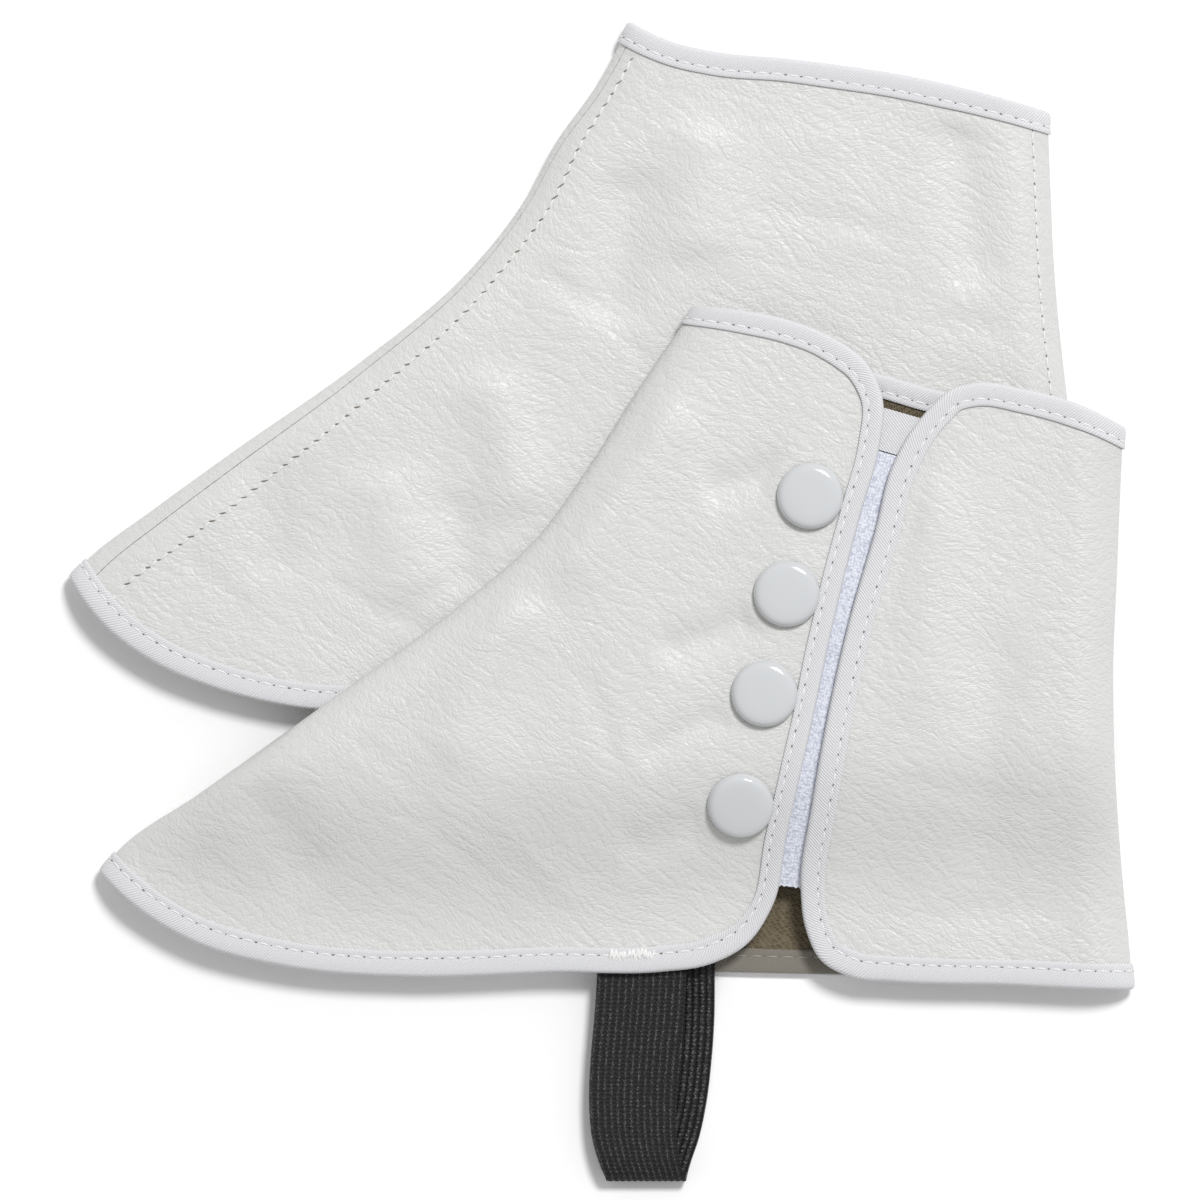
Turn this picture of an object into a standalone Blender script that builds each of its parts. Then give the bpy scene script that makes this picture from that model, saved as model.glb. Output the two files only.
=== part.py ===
"""Pair of spats: white leatherette covers for boot tops, bound in twill, buttoned on the outer side.

The left spat lies with its outer side up, over the hem of the right spat, which lies outer side down.
Each is a flattened hollow tube, open at its top and its hem and slit along the outer side.
"""

import math
from collections import namedtuple

import bpy
import numpy as np
from mathutils import Matrix

# Walls, in metres.
LEATHERETTE = 0.0012
BINDING = 0.0005
ELASTIC = 0.0012
TAPE = 0.0010
GAP = 0.0003

# The two layers of a spat and the folds between them.
LOWER = LEATHERETTE / 2
UPPER = LOWER + 0.0090
FOLD_MIDDLE = 0.0032
UPPER_REACH = 0.0130
LOWER_REACH = 0.0035
SEAM_WRAP = 0.00325
SEAM_RISE = 0.0003
FOLD_INSET = LEATHERETTE / 2

# The binding is a U over the raw edge: legs this long, this far from the middle of the wall.
BINDING_WIDTH = 0.0048
LEG_OFFSET = 0.00115
LEG_TURN = 0.00035
LEG_OUTERMOST = 0.0009
EDGE_INSET = LEG_OUTERMOST + BINDING / 2
EDGE_LIFT = LEG_OFFSET + BINDING / 2 - LEATHERETTE / 2
EDGE_FADE = 0.0080

# The left spat climbs onto the right one before it reaches its hem, and droops past its heel.
CLIMB = 0.0113
CLIMB_START = 0.0720
CLIMB_END = 0.0090
DROOP = 0.0020
DROOP_START = 0.1340
DROOP_END = 0.1560

# Grid steps: along a panel, across it, and round a fold.
ROWS = 12
FRONT_COLUMNS = 6
INNER_COLUMNS = 14
HEEL_COLUMNS = 6
UPPER_FOLD_STEPS = 5
LOWER_FOLD_STEPS = 3

# Buttons: domed caps, and how far the cloth lifts to make room for those that face down.
BUTTON_RADIUS = 0.009525
BUTTON_HEIGHT = 0.0036
BUTTON_SEAT = LEATHERETTE / 2 + GAP
BUTTON_ROOM = BUTTON_SEAT + BUTTON_HEIGHT - LOWER
ROOM_FLAT = 0.0120
ROOM_FADE = 0.0480

TAPE_WIDTH = 0.0200
TAPE_DEPTH = 0.0024
TAB_WIDTH = 0.0160
TAB_LENGTH = 0.0120

# The lines of one spat's outline: x and y of the bound edges and of the folds, in metres.
Outline = namedtuple(
    "Outline", "instep heel front_hem flap front_top heel_hem under heel_top inner_hem inner_top"
)

LEFT = Outline(
    instep=((-0.1445, -0.0778), (-0.1394, -0.0718), (-0.1158, -0.0552), (-0.0759, -0.0267),
            (-0.0406, -0.0008), (-0.0186, 0.0185), (-0.0032, 0.0394), (0.0109, 0.0616),
            (0.0265, 0.0852)),
    heel=((0.1524, -0.1116), (0.1520, -0.1028), (0.1498, -0.0801), (0.1472, -0.0456),
          (0.1467, -0.0225), (0.1479, 0.0109), (0.1500, 0.0503)),
    front_hem=((-0.1445, -0.0778), (-0.1356, -0.0864), (-0.1173, -0.0977), (-0.0916, -0.1047),
               (-0.0548, -0.1077), (-0.0121, -0.1065), (0.0173, -0.1063), (0.0305, -0.1043),
               (0.0415, -0.0985)),
    flap=((0.0415, -0.0985), (0.0489, -0.0876), (0.0530, -0.0671), (0.0603, -0.0341),
          (0.0658, -0.0083), (0.0740, 0.0248), (0.0794, 0.0443), (0.0803, 0.0585),
          (0.0759, 0.0682)),
    front_top=((0.0759, 0.0682), (0.0651, 0.0762), (0.0540, 0.0806), (0.0374, 0.0839),
               (0.0265, 0.0852)),
    heel_hem=((0.1524, -0.1116), (0.1377, -0.1112), (0.1175, -0.1102), (0.0834, -0.1092),
              (0.0723, -0.1081), (0.0628, -0.1030)),
    under=((0.0628, -0.1030), (0.0585, -0.0942), (0.0570, -0.0824), (0.0601, -0.0582),
           (0.0636, -0.0377), (0.0711, -0.0041), (0.0785, 0.0215), (0.0827, 0.0379),
           (0.0878, 0.0479), (0.0941, 0.0558)),
    heel_top=((0.0941, 0.0558), (0.1000, 0.0610), (0.1068, 0.0627), (0.1214, 0.0608),
              (0.1332, 0.0578), (0.1500, 0.0503)),
    inner_hem=((-0.1445, -0.0778), (-0.1356, -0.0864), (-0.1173, -0.0970), (-0.0916, -0.1038),
               (-0.0548, -0.1066), (0.0173, -0.1066), (0.0500, -0.1073), (0.0973, -0.1085),
               (0.1524, -0.1116)),
    inner_top=((0.0265, 0.0852), (0.0455, 0.0768), (0.0650, 0.0690), (0.0826, 0.0647),
               (0.0958, 0.0609), (0.1146, 0.0580), (0.1500, 0.0503)),
)
# The four buttons, and the middle line of the closure tape.
LEFT_BUTTONS = ((0.0596, 0.0303), (0.0529, 0.0023), (0.0465, -0.0263), (0.0397, -0.0582))
LEFT_TAPE = ((0.0539, -0.0824), (0.0590, -0.0500), (0.0649, -0.0197), (0.0730, 0.0120),
             (0.0815, 0.0426))

# The right spat's opening is the left one's, face down: turned about one point and moved to another.
OPENING_TURN = math.radians(4.3)
OPENING_FROM = np.array((0.0600, -0.1070))
OPENING_TO = np.array((0.0510, -0.0273))

# The elastic strap, a row for each section: its two edges at x, and their y and z.
StrapRow = namedtuple("StrapRow", "left right y z")
LEFT_STRAP = (
    StrapRow(-0.0008, 0.0246, -0.0950, 0.0073),
    StrapRow(-0.0012, 0.0242, -0.1060, 0.0073),
    StrapRow(-0.0020, 0.0234, -0.1180, 0.0072),
    StrapRow(-0.0032, 0.0220, -0.1320, 0.0069),
    StrapRow(-0.0036, 0.0212, -0.1450, 0.0068),
    StrapRow(-0.0026, 0.0214, -0.1550, 0.0068),
    StrapRow(-0.0005, 0.0226, -0.1620, 0.0066),
    StrapRow(0.0007, 0.0236, -0.1650, 0.0055),
    StrapRow(0.0011, 0.0240, -0.1661, 0.0037),
    StrapRow(0.0010, 0.0243, -0.1650, 0.0018),
    StrapRow(0.0010, 0.0252, -0.1620, 0.0008),
    StrapRow(0.0022, 0.0276, -0.1550, 0.0006),
    StrapRow(0.0044, 0.0298, -0.1450, 0.0006),
    StrapRow(0.0060, 0.0314, -0.1320, 0.0006),
    StrapRow(0.0068, 0.0322, -0.1200, 0.0006),
    StrapRow(0.0069, 0.0323, -0.1150, 0.0012),
    StrapRow(0.0069, 0.0323, -0.1100, 0.0030),
    StrapRow(0.0069, 0.0323, -0.1060, 0.0037),
    StrapRow(0.0069, 0.0323, -0.0960, 0.0037),
)
# The right spat's strap is tucked up inside it, sewn in the same way.
RIGHT_STRAP = (
    StrapRow(-0.0095, 0.0159, -0.0270, 0.0073),
    StrapRow(-0.0150, 0.0104, -0.0140, 0.0074),
    StrapRow(-0.0220, 0.0034, 0.0000, 0.0079),
    StrapRow(-0.0320, -0.0066, 0.0200, 0.0079),
    StrapRow(-0.0327, -0.0073, 0.0213, 0.0074),
    StrapRow(-0.0330, -0.0076, 0.0219, 0.0062),
    StrapRow(-0.0327, -0.0073, 0.0213, 0.0052),
    StrapRow(-0.0320, -0.0066, 0.0200, 0.0048),
    StrapRow(-0.0220, 0.0034, 0.0000, 0.0048),
    StrapRow(-0.0150, 0.0104, -0.0140, 0.0050),
    StrapRow(-0.0095, 0.0159, -0.0270, 0.0042),
)


def turned(points):
    """Points of the left spat's opening, turned and moved to the right spat's."""
    across = np.array((math.cos(OPENING_TURN), math.sin(OPENING_TURN)))
    up = np.array((-across[1], across[0]))
    return tuple(
        tuple(OPENING_TO + across * dx + up * dy) for dx, dy in np.array(points) - OPENING_FROM
    )


RIGHT_FLAP = turned(LEFT.flap)
RIGHT_UNDER = turned(LEFT.under)
RIGHT = Outline(
    instep=((-0.1533, 0.0070), (-0.1481, 0.0121), (-0.1288, 0.0268), (-0.1067, 0.0428),
            (-0.0715, 0.0675), (-0.0384, 0.0951), (-0.0219, 0.1160), (-0.0130, 0.1325),
            (-0.0009, 0.1496), (0.0082, 0.1668)),
    heel=((0.1420, -0.0231), (0.1405, 0.0005), (0.1377, 0.0293), (0.1339, 0.0581),
          (0.1301, 0.0961), (0.1290, 0.1204), (0.1284, 0.1410)),
    front_hem=((-0.1533, 0.0070), (-0.1443, -0.0055), (-0.1285, -0.0170), (-0.1120, -0.0238),
               (-0.0902, -0.0290), (-0.0524, -0.0308), (0.0052, -0.0290), (0.0215, -0.0265),
               RIGHT_FLAP[0]),
    flap=RIGHT_FLAP,
    front_top=(RIGHT_FLAP[-1], (0.0424, 0.1550), (0.0320, 0.1571), (0.0210, 0.1600),
               (0.0082, 0.1668)),
    heel_hem=((0.1420, -0.0231), (0.1150, -0.0238), (0.0900, -0.0249), (0.0733, -0.0263),
              (0.0633, -0.0268), RIGHT_UNDER[0]),
    under=RIGHT_UNDER,
    heel_top=(RIGHT_UNDER[-1], (0.0783, 0.1425), (0.0850, 0.1448), (0.1050, 0.1450),
              (0.1284, 0.1410)),
    inner_hem=((-0.1533, 0.0070), (-0.1443, -0.0055), (-0.1285, -0.0176), (-0.1120, -0.0246),
               (-0.0902, -0.0300), (-0.0524, -0.0318), (0.0052, -0.0297), (0.0858, -0.0254),
               (0.1420, -0.0231)),
    inner_top=((0.0082, 0.1668), (0.0210, 0.1606), (0.0320, 0.1581), (0.0540, 0.1559),
               (0.0926, 0.1501), (0.1284, 0.1410)),
)


def smooth(value):
    """Goes from 0 to 1 as the value does, starting and ending straight and level."""
    value = np.clip(value, 0.0, 1.0)
    return value ** 3 * (10 - 15 * value + 6 * value * value)


def unit(vectors):
    return vectors / np.linalg.norm(vectors, axis=-1, keepdims=True)


class Line:
    """A smooth line through a few points, read by the fraction of its length."""

    STEPS = 20

    def __init__(self, samples):
        self.samples = samples
        spans = np.linalg.norm(np.diff(samples, axis=0), axis=1)
        self.along = np.concatenate([[0.0], np.cumsum(spans)])
        self.length = self.along[-1]

    @classmethod
    def through(cls, points):
        knots = np.array(points, float)
        when = np.concatenate([[0.0], np.cumsum(np.linalg.norm(np.diff(knots, axis=0), axis=1))])
        slopes = np.gradient(knots, when, axis=0, edge_order=2)
        samples = [knots[:1]]
        step = np.linspace(0, 1, cls.STEPS + 1)[1:, None]
        for i, span in enumerate(np.diff(when)):
            ease = step * step * (3 - 2 * step)
            leave = step * (1 - step) ** 2 * span
            arrive = step * step * (step - 1) * span
            samples.append(
                (1 - ease) * knots[i] + ease * knots[i + 1]
                + leave * slopes[i] + arrive * slopes[i + 1]
            )
        return cls(np.concatenate(samples))

    def stretch(self, first, last):
        """The part between two of the points that the line was drawn through."""
        return Line(self.samples[first * self.STEPS:last * self.STEPS + 1])

    def at(self, fraction):
        where = np.clip(fraction, 0.0, 1.0) * self.length
        return np.stack(
            [np.interp(where, self.along, self.samples[:, axis]) for axis in (0, 1)], axis=-1
        )

    def direction(self, fraction):
        step = 0.004
        return unit(self.at(fraction + step) - self.at(fraction - step))


def leftward(points):
    """The direction to the left of each point as the line is followed."""
    ahead = unit(np.gradient(np.array(points, float), axis=0))
    return np.stack([-ahead[:, 1], ahead[:, 0]], axis=1)


def inset(points, distance):
    return np.array(points, float) + leftward(points) * distance


def joined(*lines):
    """One list of points from lines that share their ends."""
    points = list(lines[0])
    for line in lines[1:]:
        points.extend(line[1:])
    return points


class Panel:
    """A cut of cloth between four lines, on the upper (1) or lower (-1) layer of a spat."""

    def __init__(self, spat, side, left, right, bottom, top, left_fold, right_fold):
        self.spat, self.side = spat, side
        self.left, self.right, self.bottom, self.top = left, right, bottom, top
        self.left_fold, self.right_fold = left_fold, right_fold
        self.left_rows = stations(left.length)
        self.right_rows = stations(right.length)

    def plan(self, u, v):
        """The point at the fraction u across and v up."""
        ruled = (1 - u) * self.left.at(v) + u * self.right.at(v)
        ruled = ruled + (1 - v) * self.bottom.at(u) + v * self.top.at(u)
        low = (1 - u) * self.left.at(0) + u * self.right.at(0)
        high = (1 - u) * self.left.at(1) + u * self.right.at(1)
        return ruled - (1 - v) * low - v * high

    def reach(self, v, from_left=True):
        """The panel's width at v, or from a fold, its reach square to the fold if it ran on as it starts."""
        if not (self.left_fold if from_left else self.right_fold):
            return np.linalg.norm(self.right.at(v) - self.left.at(v))
        start, step = (0.0, 0.02) if from_left else (1.0, -0.02)
        line = self.left if from_left else self.right
        across = (self.plan(start + step, v) - self.plan(start, v)) / abs(step)
        ahead = line.direction(v)
        return abs(ahead[0] * across[1] - ahead[1] * across[0])

    def row(self, index, u):
        """The fraction up of a grid row where it crosses u."""
        return (1 - u) * self.left_rows[index] + u * self.right_rows[index]

    def height(self, plan, from_fold=1.0):
        """The middle of the wall over a place, so far from a fold."""
        bound = self.spat.bound[self.side]
        from_edge = np.linalg.norm(bound - plan, axis=1).min()
        lift = EDGE_LIFT * (1 - smooth((from_edge - BINDING_WIDTH) / EDGE_FADE))
        middle = FOLD_MIDDLE + lift
        if self.side > 0:
            bend = np.clip(from_fold / UPPER_REACH, 0.0, 1.0)
            level = middle + (UPPER - middle) * math.sqrt(1 - (1 - bend) ** 2)
        else:
            bend = np.clip(from_fold / LOWER_REACH, 0.0, 1.0)
            flat = LOWER + lift + self.spat.room(plan)
            level = middle - (middle - flat) * math.sqrt(1 - (1 - bend) ** 2)
        return level + self.spat.ground(plan)

    def point(self, u, v):
        plan = self.plan(u, v)
        from_fold = 1.0
        if self.left_fold:
            from_fold = min(from_fold, u * self.reach(v))
        if self.right_fold:
            from_fold = min(from_fold, (1 - u) * self.reach(v, False))
        return np.array((*plan, self.height(plan, from_fold)))


def stations(length):
    """Grid rows as fractions of a length: its ends, the binding's width from them, and even steps."""
    near = (0.0, BINDING_WIDTH / 2)
    between = np.linspace(BINDING_WIDTH, length - BINDING_WIDTH, ROWS + 1)
    far = (length - BINDING_WIDTH / 2, length)
    return np.concatenate([near, between, far]) / length


def fold_distances(side, steps, start=0.0, end=None):
    """Distances from a fold at even turns round it, from one rise above it to one distance."""
    reach = UPPER_REACH if side > 0 else LOWER_REACH
    rise = UPPER - FOLD_MIDDLE if side > 0 else FOLD_MIDDLE - LOWER
    first = math.asin(start / rise)
    last = math.pi / 2 if end is None else math.acos(1 - end / reach)
    return [reach * (1 - math.cos(turn)) for turn in np.linspace(first, last, steps + 1)]


class Spat:
    """One spat: its outline, which side lies up, and what it lies on."""

    def __init__(self, name, outline, outer_side, ground_hem, buttons):
        self.name, self.outline, self.outer_side = name, outline, outer_side
        self.ground_hem = ground_hem
        self.buttons = np.array(buttons)
        self.cut()

    def ground(self, plan):
        """The height of what the spat lies on."""
        if self.ground_hem is None:
            return 0.0
        hem = np.interp(plan[0], self.ground_hem[:, 0], self.ground_hem[:, 1])
        climbed = smooth((plan[1] - hem + CLIMB_START) / (CLIMB_START - CLIMB_END))
        droop = DROOP * smooth((plan[0] - DROOP_START) / (DROOP_END - DROOP_START))
        return climbed * (CLIMB - droop)

    def room(self, plan):
        """How far the lower layer lifts for the buttons under it."""
        if self.outer_side > 0:
            return 0.0
        starts, ends = self.buttons[:-1], self.buttons[1:]
        along = ((plan - starts) * (ends - starts)).sum(1) / ((ends - starts) ** 2).sum(1)
        nearest = starts + np.clip(along, 0, 1)[:, None] * (ends - starts)
        distance = np.linalg.norm(plan - nearest, axis=1).min()
        return BUTTON_ROOM * (1 - smooth((distance - ROOM_FLAT) / ROOM_FADE))

    def cut(self):
        """Sets out the three panels between their lines."""
        shape = self.outline
        edge = joined(shape.front_hem, shape.flap, shape.front_top)
        heel_edge = joined(shape.heel_hem, shape.under, shape.heel_top)
        instep = inset(shape.instep, -FOLD_INSET)
        heel = inset(shape.heel, FOLD_INSET)
        inner_hem = inset(shape.inner_hem, EDGE_INSET)
        inner_top = inset(shape.inner_top, -EDGE_INSET)
        edge_inside = leftward(edge) * EDGE_INSET
        heel_inside = leftward(heel_edge) * -EDGE_INSET
        toe = instep[0] + edge_inside[0]
        tip = instep[-1] + edge_inside[-1]
        heel_low = heel[0] + heel_inside[0]
        heel_high = heel[-1] + heel_inside[-1]
        edge = np.array(edge) + edge_inside
        heel_edge = np.array(heel_edge) + heel_inside
        instep[0] = edge[0] = inner_hem[0] = toe
        instep[-1] = edge[-1] = inner_top[0] = tip
        heel[0] = heel_edge[0] = inner_hem[-1] = heel_low
        heel[-1] = heel_edge[-1] = inner_top[-1] = heel_high
        instep, heel = Line.through(instep), Line.through(heel)
        hem_end = len(shape.front_hem) - 1
        flap_end = hem_end + len(shape.flap) - 1
        edge = Line.through(edge)
        flap = edge.stretch(hem_end, flap_end)
        front_top = Line(edge.stretch(flap_end, flap_end + len(shape.front_top) - 1).samples[::-1])
        front_hem = edge.stretch(0, hem_end)
        under_start = len(shape.heel_hem) - 1
        under_end = under_start + len(shape.under) - 1
        heel_edge = Line.through(heel_edge)
        under = heel_edge.stretch(under_start, under_end)
        heel_hem = Line(heel_edge.stretch(0, under_start).samples[::-1])
        heel_top = heel_edge.stretch(under_end, under_end + len(shape.heel_top) - 1)
        inner_hem, inner_top = Line.through(inner_hem), Line.through(inner_top)
        side = self.outer_side
        self.bound = {
            side: np.concatenate([edge.samples, heel_edge.samples]),
            -side: np.concatenate([inner_hem.samples, inner_top.samples]),
        }
        self.front = Panel(self, side, instep, flap, front_hem, front_top, True, False)
        self.inner = Panel(self, -side, instep, heel, inner_hem, inner_top, True, True)
        self.back = Panel(self, side, under, heel, heel_hem, heel_top, False, True)

    def column(self, panel, distance, from_left=True):
        """A grid column so far from a panel's side line, as (panel, u for each row)."""
        shares = []
        rows = panel.left_rows if from_left else panel.right_rows
        for v in rows:
            share = distance / panel.reach(v, from_left)
            shares.append(share if from_left else 1 - share)
        return panel, np.array(shares)

    def between(self, panel, first, last, count):
        """Grid columns at even steps between two others."""
        steps = np.linspace(0, 1, count + 1)[1:-1]
        return [(panel, (1 - step) * first[1] + step * last[1]) for step in steps]

    def fold_steps(self, side):
        return UPPER_FOLD_STEPS if side > 0 else LOWER_FOLD_STEPS

    def front_columns(self):
        """From the seam on the inner side, round the instep fold, to the flap's edge."""
        inner_side = -self.outer_side
        wrap = fold_distances(inner_side, LOWER_FOLD_STEPS, 0.0, SEAM_WRAP)
        columns = [self.column(self.inner, distance) for distance in wrap[:0:-1]]
        turn = fold_distances(self.outer_side, self.fold_steps(self.outer_side))
        columns += [self.column(self.front, distance) for distance in turn]
        edge = [self.column(self.front, share * BINDING_WIDTH, False) for share in (1, 0.5, 0)]
        columns += self.between(self.front, columns[-1], edge[0], FRONT_COLUMNS)
        return columns + edge

    def inner_columns(self):
        """From the instep seam to the heel fold."""
        side = -self.outer_side
        reach = UPPER_REACH if side > 0 else LOWER_REACH
        start = SEAM_WRAP + GAP
        columns = [self.column(self.inner, start)]
        if start < reach:
            turn = [d for d in fold_distances(side, UPPER_FOLD_STEPS) if d > start * 1.3]
            columns += [self.column(self.inner, distance) for distance in turn]
        heel = fold_distances(side, self.fold_steps(side), SEAM_RISE)
        ending = [self.column(self.inner, distance, False) for distance in heel[::-1]]
        columns += self.between(self.inner, columns[-1], ending[0], INNER_COLUMNS)
        return columns + ending

    def back_columns(self):
        """From the edge under the flap to the heel fold."""
        side = self.outer_side
        edge = [self.column(self.back, share * BINDING_WIDTH) for share in (0, 0.5, 1)]
        heel = fold_distances(side, self.fold_steps(side), SEAM_RISE)
        ending = [self.column(self.back, distance, False) for distance in heel[::-1]]
        middle = self.between(self.back, edge[-1], ending[0], HEEL_COLUMNS)
        return edge + middle + ending


def grid_of(columns):
    """The points of a panel's grid, a column at a time."""
    grid = []
    for panel, shares in columns:
        grid.append([panel.point(u, panel.row(k, u)) for k, u in enumerate(shares)])
    return np.array(grid)


def material(name, colour, roughness):
    made = bpy.data.materials.new(name)
    made.use_nodes = True
    shader = made.node_tree.nodes["Principled BSDF"]
    shader.inputs["Base Color"].default_value = (*colour, 1.0)
    shader.inputs["Roughness"].default_value = roughness
    return made


def sheet(name, grid, wall, finish, closed=False):
    """A wall of cloth over a grid of points, as an open surface with its thickness added."""
    across, along = grid.shape[:2]
    rounds = across if closed else across - 1
    faces = []
    for i in range(rounds):
        after = (i + 1) % across
        for j in range(along - 1):
            faces.append(
                (i * along + j, after * along + j, after * along + j + 1, i * along + j + 1)
            )
    mesh = bpy.data.meshes.new(name)
    mesh.from_pydata([tuple(point) for point in grid.reshape(-1, 3)], [], faces)
    mesh.shade_smooth()
    piece = bpy.data.objects.new(name, mesh)
    piece.data.materials.append(finish)
    pair.objects.link(piece)
    thicken = piece.modifiers.new("wall", "SOLIDIFY")
    thicken.thickness = wall
    thicken.offset = 0.0
    thicken.use_even_offset = True
    return piece


def edge_stations(columns, grid, row):
    """The grid's points on its hem (0) or top (-1) and, for each, a point the binding's width in."""
    stations_here = []
    for (panel, shares), points in zip(columns, grid):
        u = shares[row]
        v = panel.row(row, u)
        tall = (1 - u) * panel.left.length + u * panel.right.length
        step = BINDING_WIDTH / tall
        near_fold = (panel.left_fold and u * panel.reach(v) < UPPER_REACH * 1.2) or (
            panel.right_fold and (1 - u) * panel.reach(v, False) < UPPER_REACH * 1.2
        )
        inner = panel.point(u, v + step if row == 0 else v - step)
        stations_here.append((points[row], inner, panel, near_fold))
    return stations_here


def side_stations(panel, column, beyond):
    """The same along the free edge of a quarter, whose next column is given."""
    return [(point, inner, panel, False) for point, inner in zip(column[1:-1], beyond[1:-1])]


def binding(spat, columns, grids, finish):
    """The twill tape folded over the raw edge, all the way round the spat."""
    front, inner, back = columns
    front_grid, inner_grid, back_grid = grids
    loop = edge_stations(front, front_grid, 0)[::-1]
    loop += edge_stations(inner, inner_grid, 0)[1:-1]
    loop += edge_stations(back, back_grid, 0)[::-1]
    loop += side_stations(spat.back, back_grid[0], back_grid[2])
    loop += edge_stations(back, back_grid, -1)
    loop += edge_stations(inner, inner_grid, -1)[-2:0:-1]
    loop += edge_stations(front, front_grid, -1)
    loop += side_stations(spat.front, front_grid[-1], front_grid[-3])[::-1]
    edge = np.array([station[0] for station in loop])
    inner_line = np.array([station[1] for station in loop])
    ahead = np.roll(edge, -1, axis=0) - np.roll(edge, 1, axis=0)
    for i, (point, guess, panel, near_fold) in enumerate(loop):
        if near_fold:
            continue
        square = unit(np.array((-ahead[i, 1], ahead[i, 0])))
        square *= math.copysign(1.0, square @ (guess - point)[:2])
        plan = point[:2] + square * BINDING_WIDTH
        inner_line[i] = (*plan, panel.height(plan))
    up = unit(np.cross(ahead, inner_line - edge))
    out = unit(edge - inner_line)
    out = unit(out - up * (out * up).sum(1, keepdims=True))
    section = [
        inner_line + up * LEG_OFFSET,
        edge + out * LEG_TURN + up * LEG_OFFSET,
        edge + out * LEG_OUTERMOST,
        edge + out * LEG_TURN - up * LEG_OFFSET,
        inner_line - up * LEG_OFFSET,
    ]
    return sheet(f"{spat.name}_binding", np.stack(section, axis=1), BINDING, finish, closed=True)


def on_outer_layer(spat, plan, depth):
    """A point so deep inside the spat's outer layer."""
    plan = np.array(plan)
    return np.array((*plan, spat.front.height(plan) - spat.outer_side * depth))


def closure_tape(spat, line, finish):
    """White knit tape under both edges of the opening."""
    middle = Line.through(line)
    steps = np.linspace(0, 1, ROWS + 1)
    grid = []
    for share in (-0.5, 0.0, 0.5):
        ahead = middle.direction(steps)
        across = np.stack([ahead[:, 1], -ahead[:, 0]], axis=1)
        plans = middle.at(steps) + across * share * TAPE_WIDTH
        grid.append([on_outer_layer(spat, plan, TAPE_DEPTH) for plan in plans])
    return sheet(f"{spat.name}_closure_tape", np.array(grid), TAPE, finish)


def tape_tab(spat, line, finish):
    """A small twill tab above the closure tape."""
    middle = Line.through(line)
    ahead = middle.direction(1.0)
    across = np.array((ahead[1], -ahead[0])) * TAB_WIDTH / 2
    foot = middle.at(1.0) + ahead * GAP * 2
    grid = []
    for side in (-1, 1):
        plans = [foot + across * side + ahead * share * TAB_LENGTH for share in (0.0, 0.5, 1.0)]
        grid.append([on_outer_layer(spat, plan, TAPE_DEPTH) for plan in plans])
    return sheet(f"{spat.name}_tape_tab", np.array(grid), TAPE, finish)


def strap(spat, rows, finish):
    """Black elastic that runs under the sole, its ends sewn inside both hems."""
    grid = np.array(
        [[(row.left + (row.right - row.left) * share, row.y, row.z) for row in rows]
         for share in (0.0, 0.5, 1.0)]
    )
    return sheet(f"{spat.name}_strap", grid, ELASTIC, finish)


def button(spat, index, plan, finish):
    """A glossy domed cap on the flap, turned from its profile."""
    dome = [
        (0.0, BUTTON_HEIGHT),
        (BUTTON_RADIUS * 0.45, BUTTON_HEIGHT * 0.95),
        (BUTTON_RADIUS * 0.78, BUTTON_HEIGHT * 0.78),
        (BUTTON_RADIUS * 0.95, BUTTON_HEIGHT * 0.48),
        (BUTTON_RADIUS, BUTTON_HEIGHT * 0.28),
        (BUTTON_RADIUS * 0.90, 0.0),
        (0.0, 0.0),
    ]
    mesh = bpy.data.meshes.new(f"{spat.name}_button_{index}")
    edges = [(i, i + 1) for i in range(len(dome) - 1)]
    mesh.from_pydata([(radius, 0.0, z) for radius, z in dome], edges, [])
    piece = bpy.data.objects.new(mesh.name, mesh)
    piece.data.materials.append(finish)
    pair.objects.link(piece)
    turn = piece.modifiers.new("turn", "SCREW")
    turn.steps = turn.render_steps = 20
    turn.use_merge_vertices = True
    turn.merge_threshold = 0.0001
    seat = on_outer_layer(spat, plan, -BUTTON_SEAT)
    step = 0.001
    east = on_outer_layer(spat, plan + np.array((step, 0)), 0) - on_outer_layer(spat, plan, 0)
    north = on_outer_layer(spat, plan + np.array((0, step)), 0) - on_outer_layer(spat, plan, 0)
    facing = unit(np.cross(east, north)) * spat.outer_side
    along = unit(east)
    matrix = np.identity(4)
    matrix[:3, :3] = np.stack([along, np.cross(facing, along), facing], axis=1)
    matrix[:3, 3] = seat
    piece.matrix_world = Matrix(matrix.tolist())
    return piece


def build(spat, strap_rows, tape_line):
    """Every piece of one spat, each a node of its own."""
    columns = [spat.front_columns(), spat.inner_columns(), spat.back_columns()]
    grids = [grid_of(each) for each in columns]
    for piece, grid in zip(("front_quarter", "inner_panel", "heel_quarter"), grids):
        sheet(f"{spat.name}_{piece}", grid, LEATHERETTE, leatherette)
    binding(spat, columns, grids, twill)
    for index, plan in enumerate(spat.buttons, 1):
        button(spat, index, plan, enamel)
    closure_tape(spat, tape_line, knit)
    tape_tab(spat, tape_line, twill)
    strap(spat, strap_rows, elastic)


for old in list(bpy.data.objects):
    bpy.data.objects.remove(old)

pair = bpy.data.collections.new("pair_of_spats")
bpy.context.scene.collection.children.link(pair)

leatherette = material("white leatherette", (0.84, 0.84, 0.82), 0.45)
twill = material("white twill binding", (0.78, 0.78, 0.82), 0.80)
enamel = material("white enamel", (0.68, 0.70, 0.72), 0.12)
knit = material("white knit tape", (0.82, 0.84, 0.90), 0.90)
elastic = material("black elastic", (0.02, 0.02, 0.02), 0.75)

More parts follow.
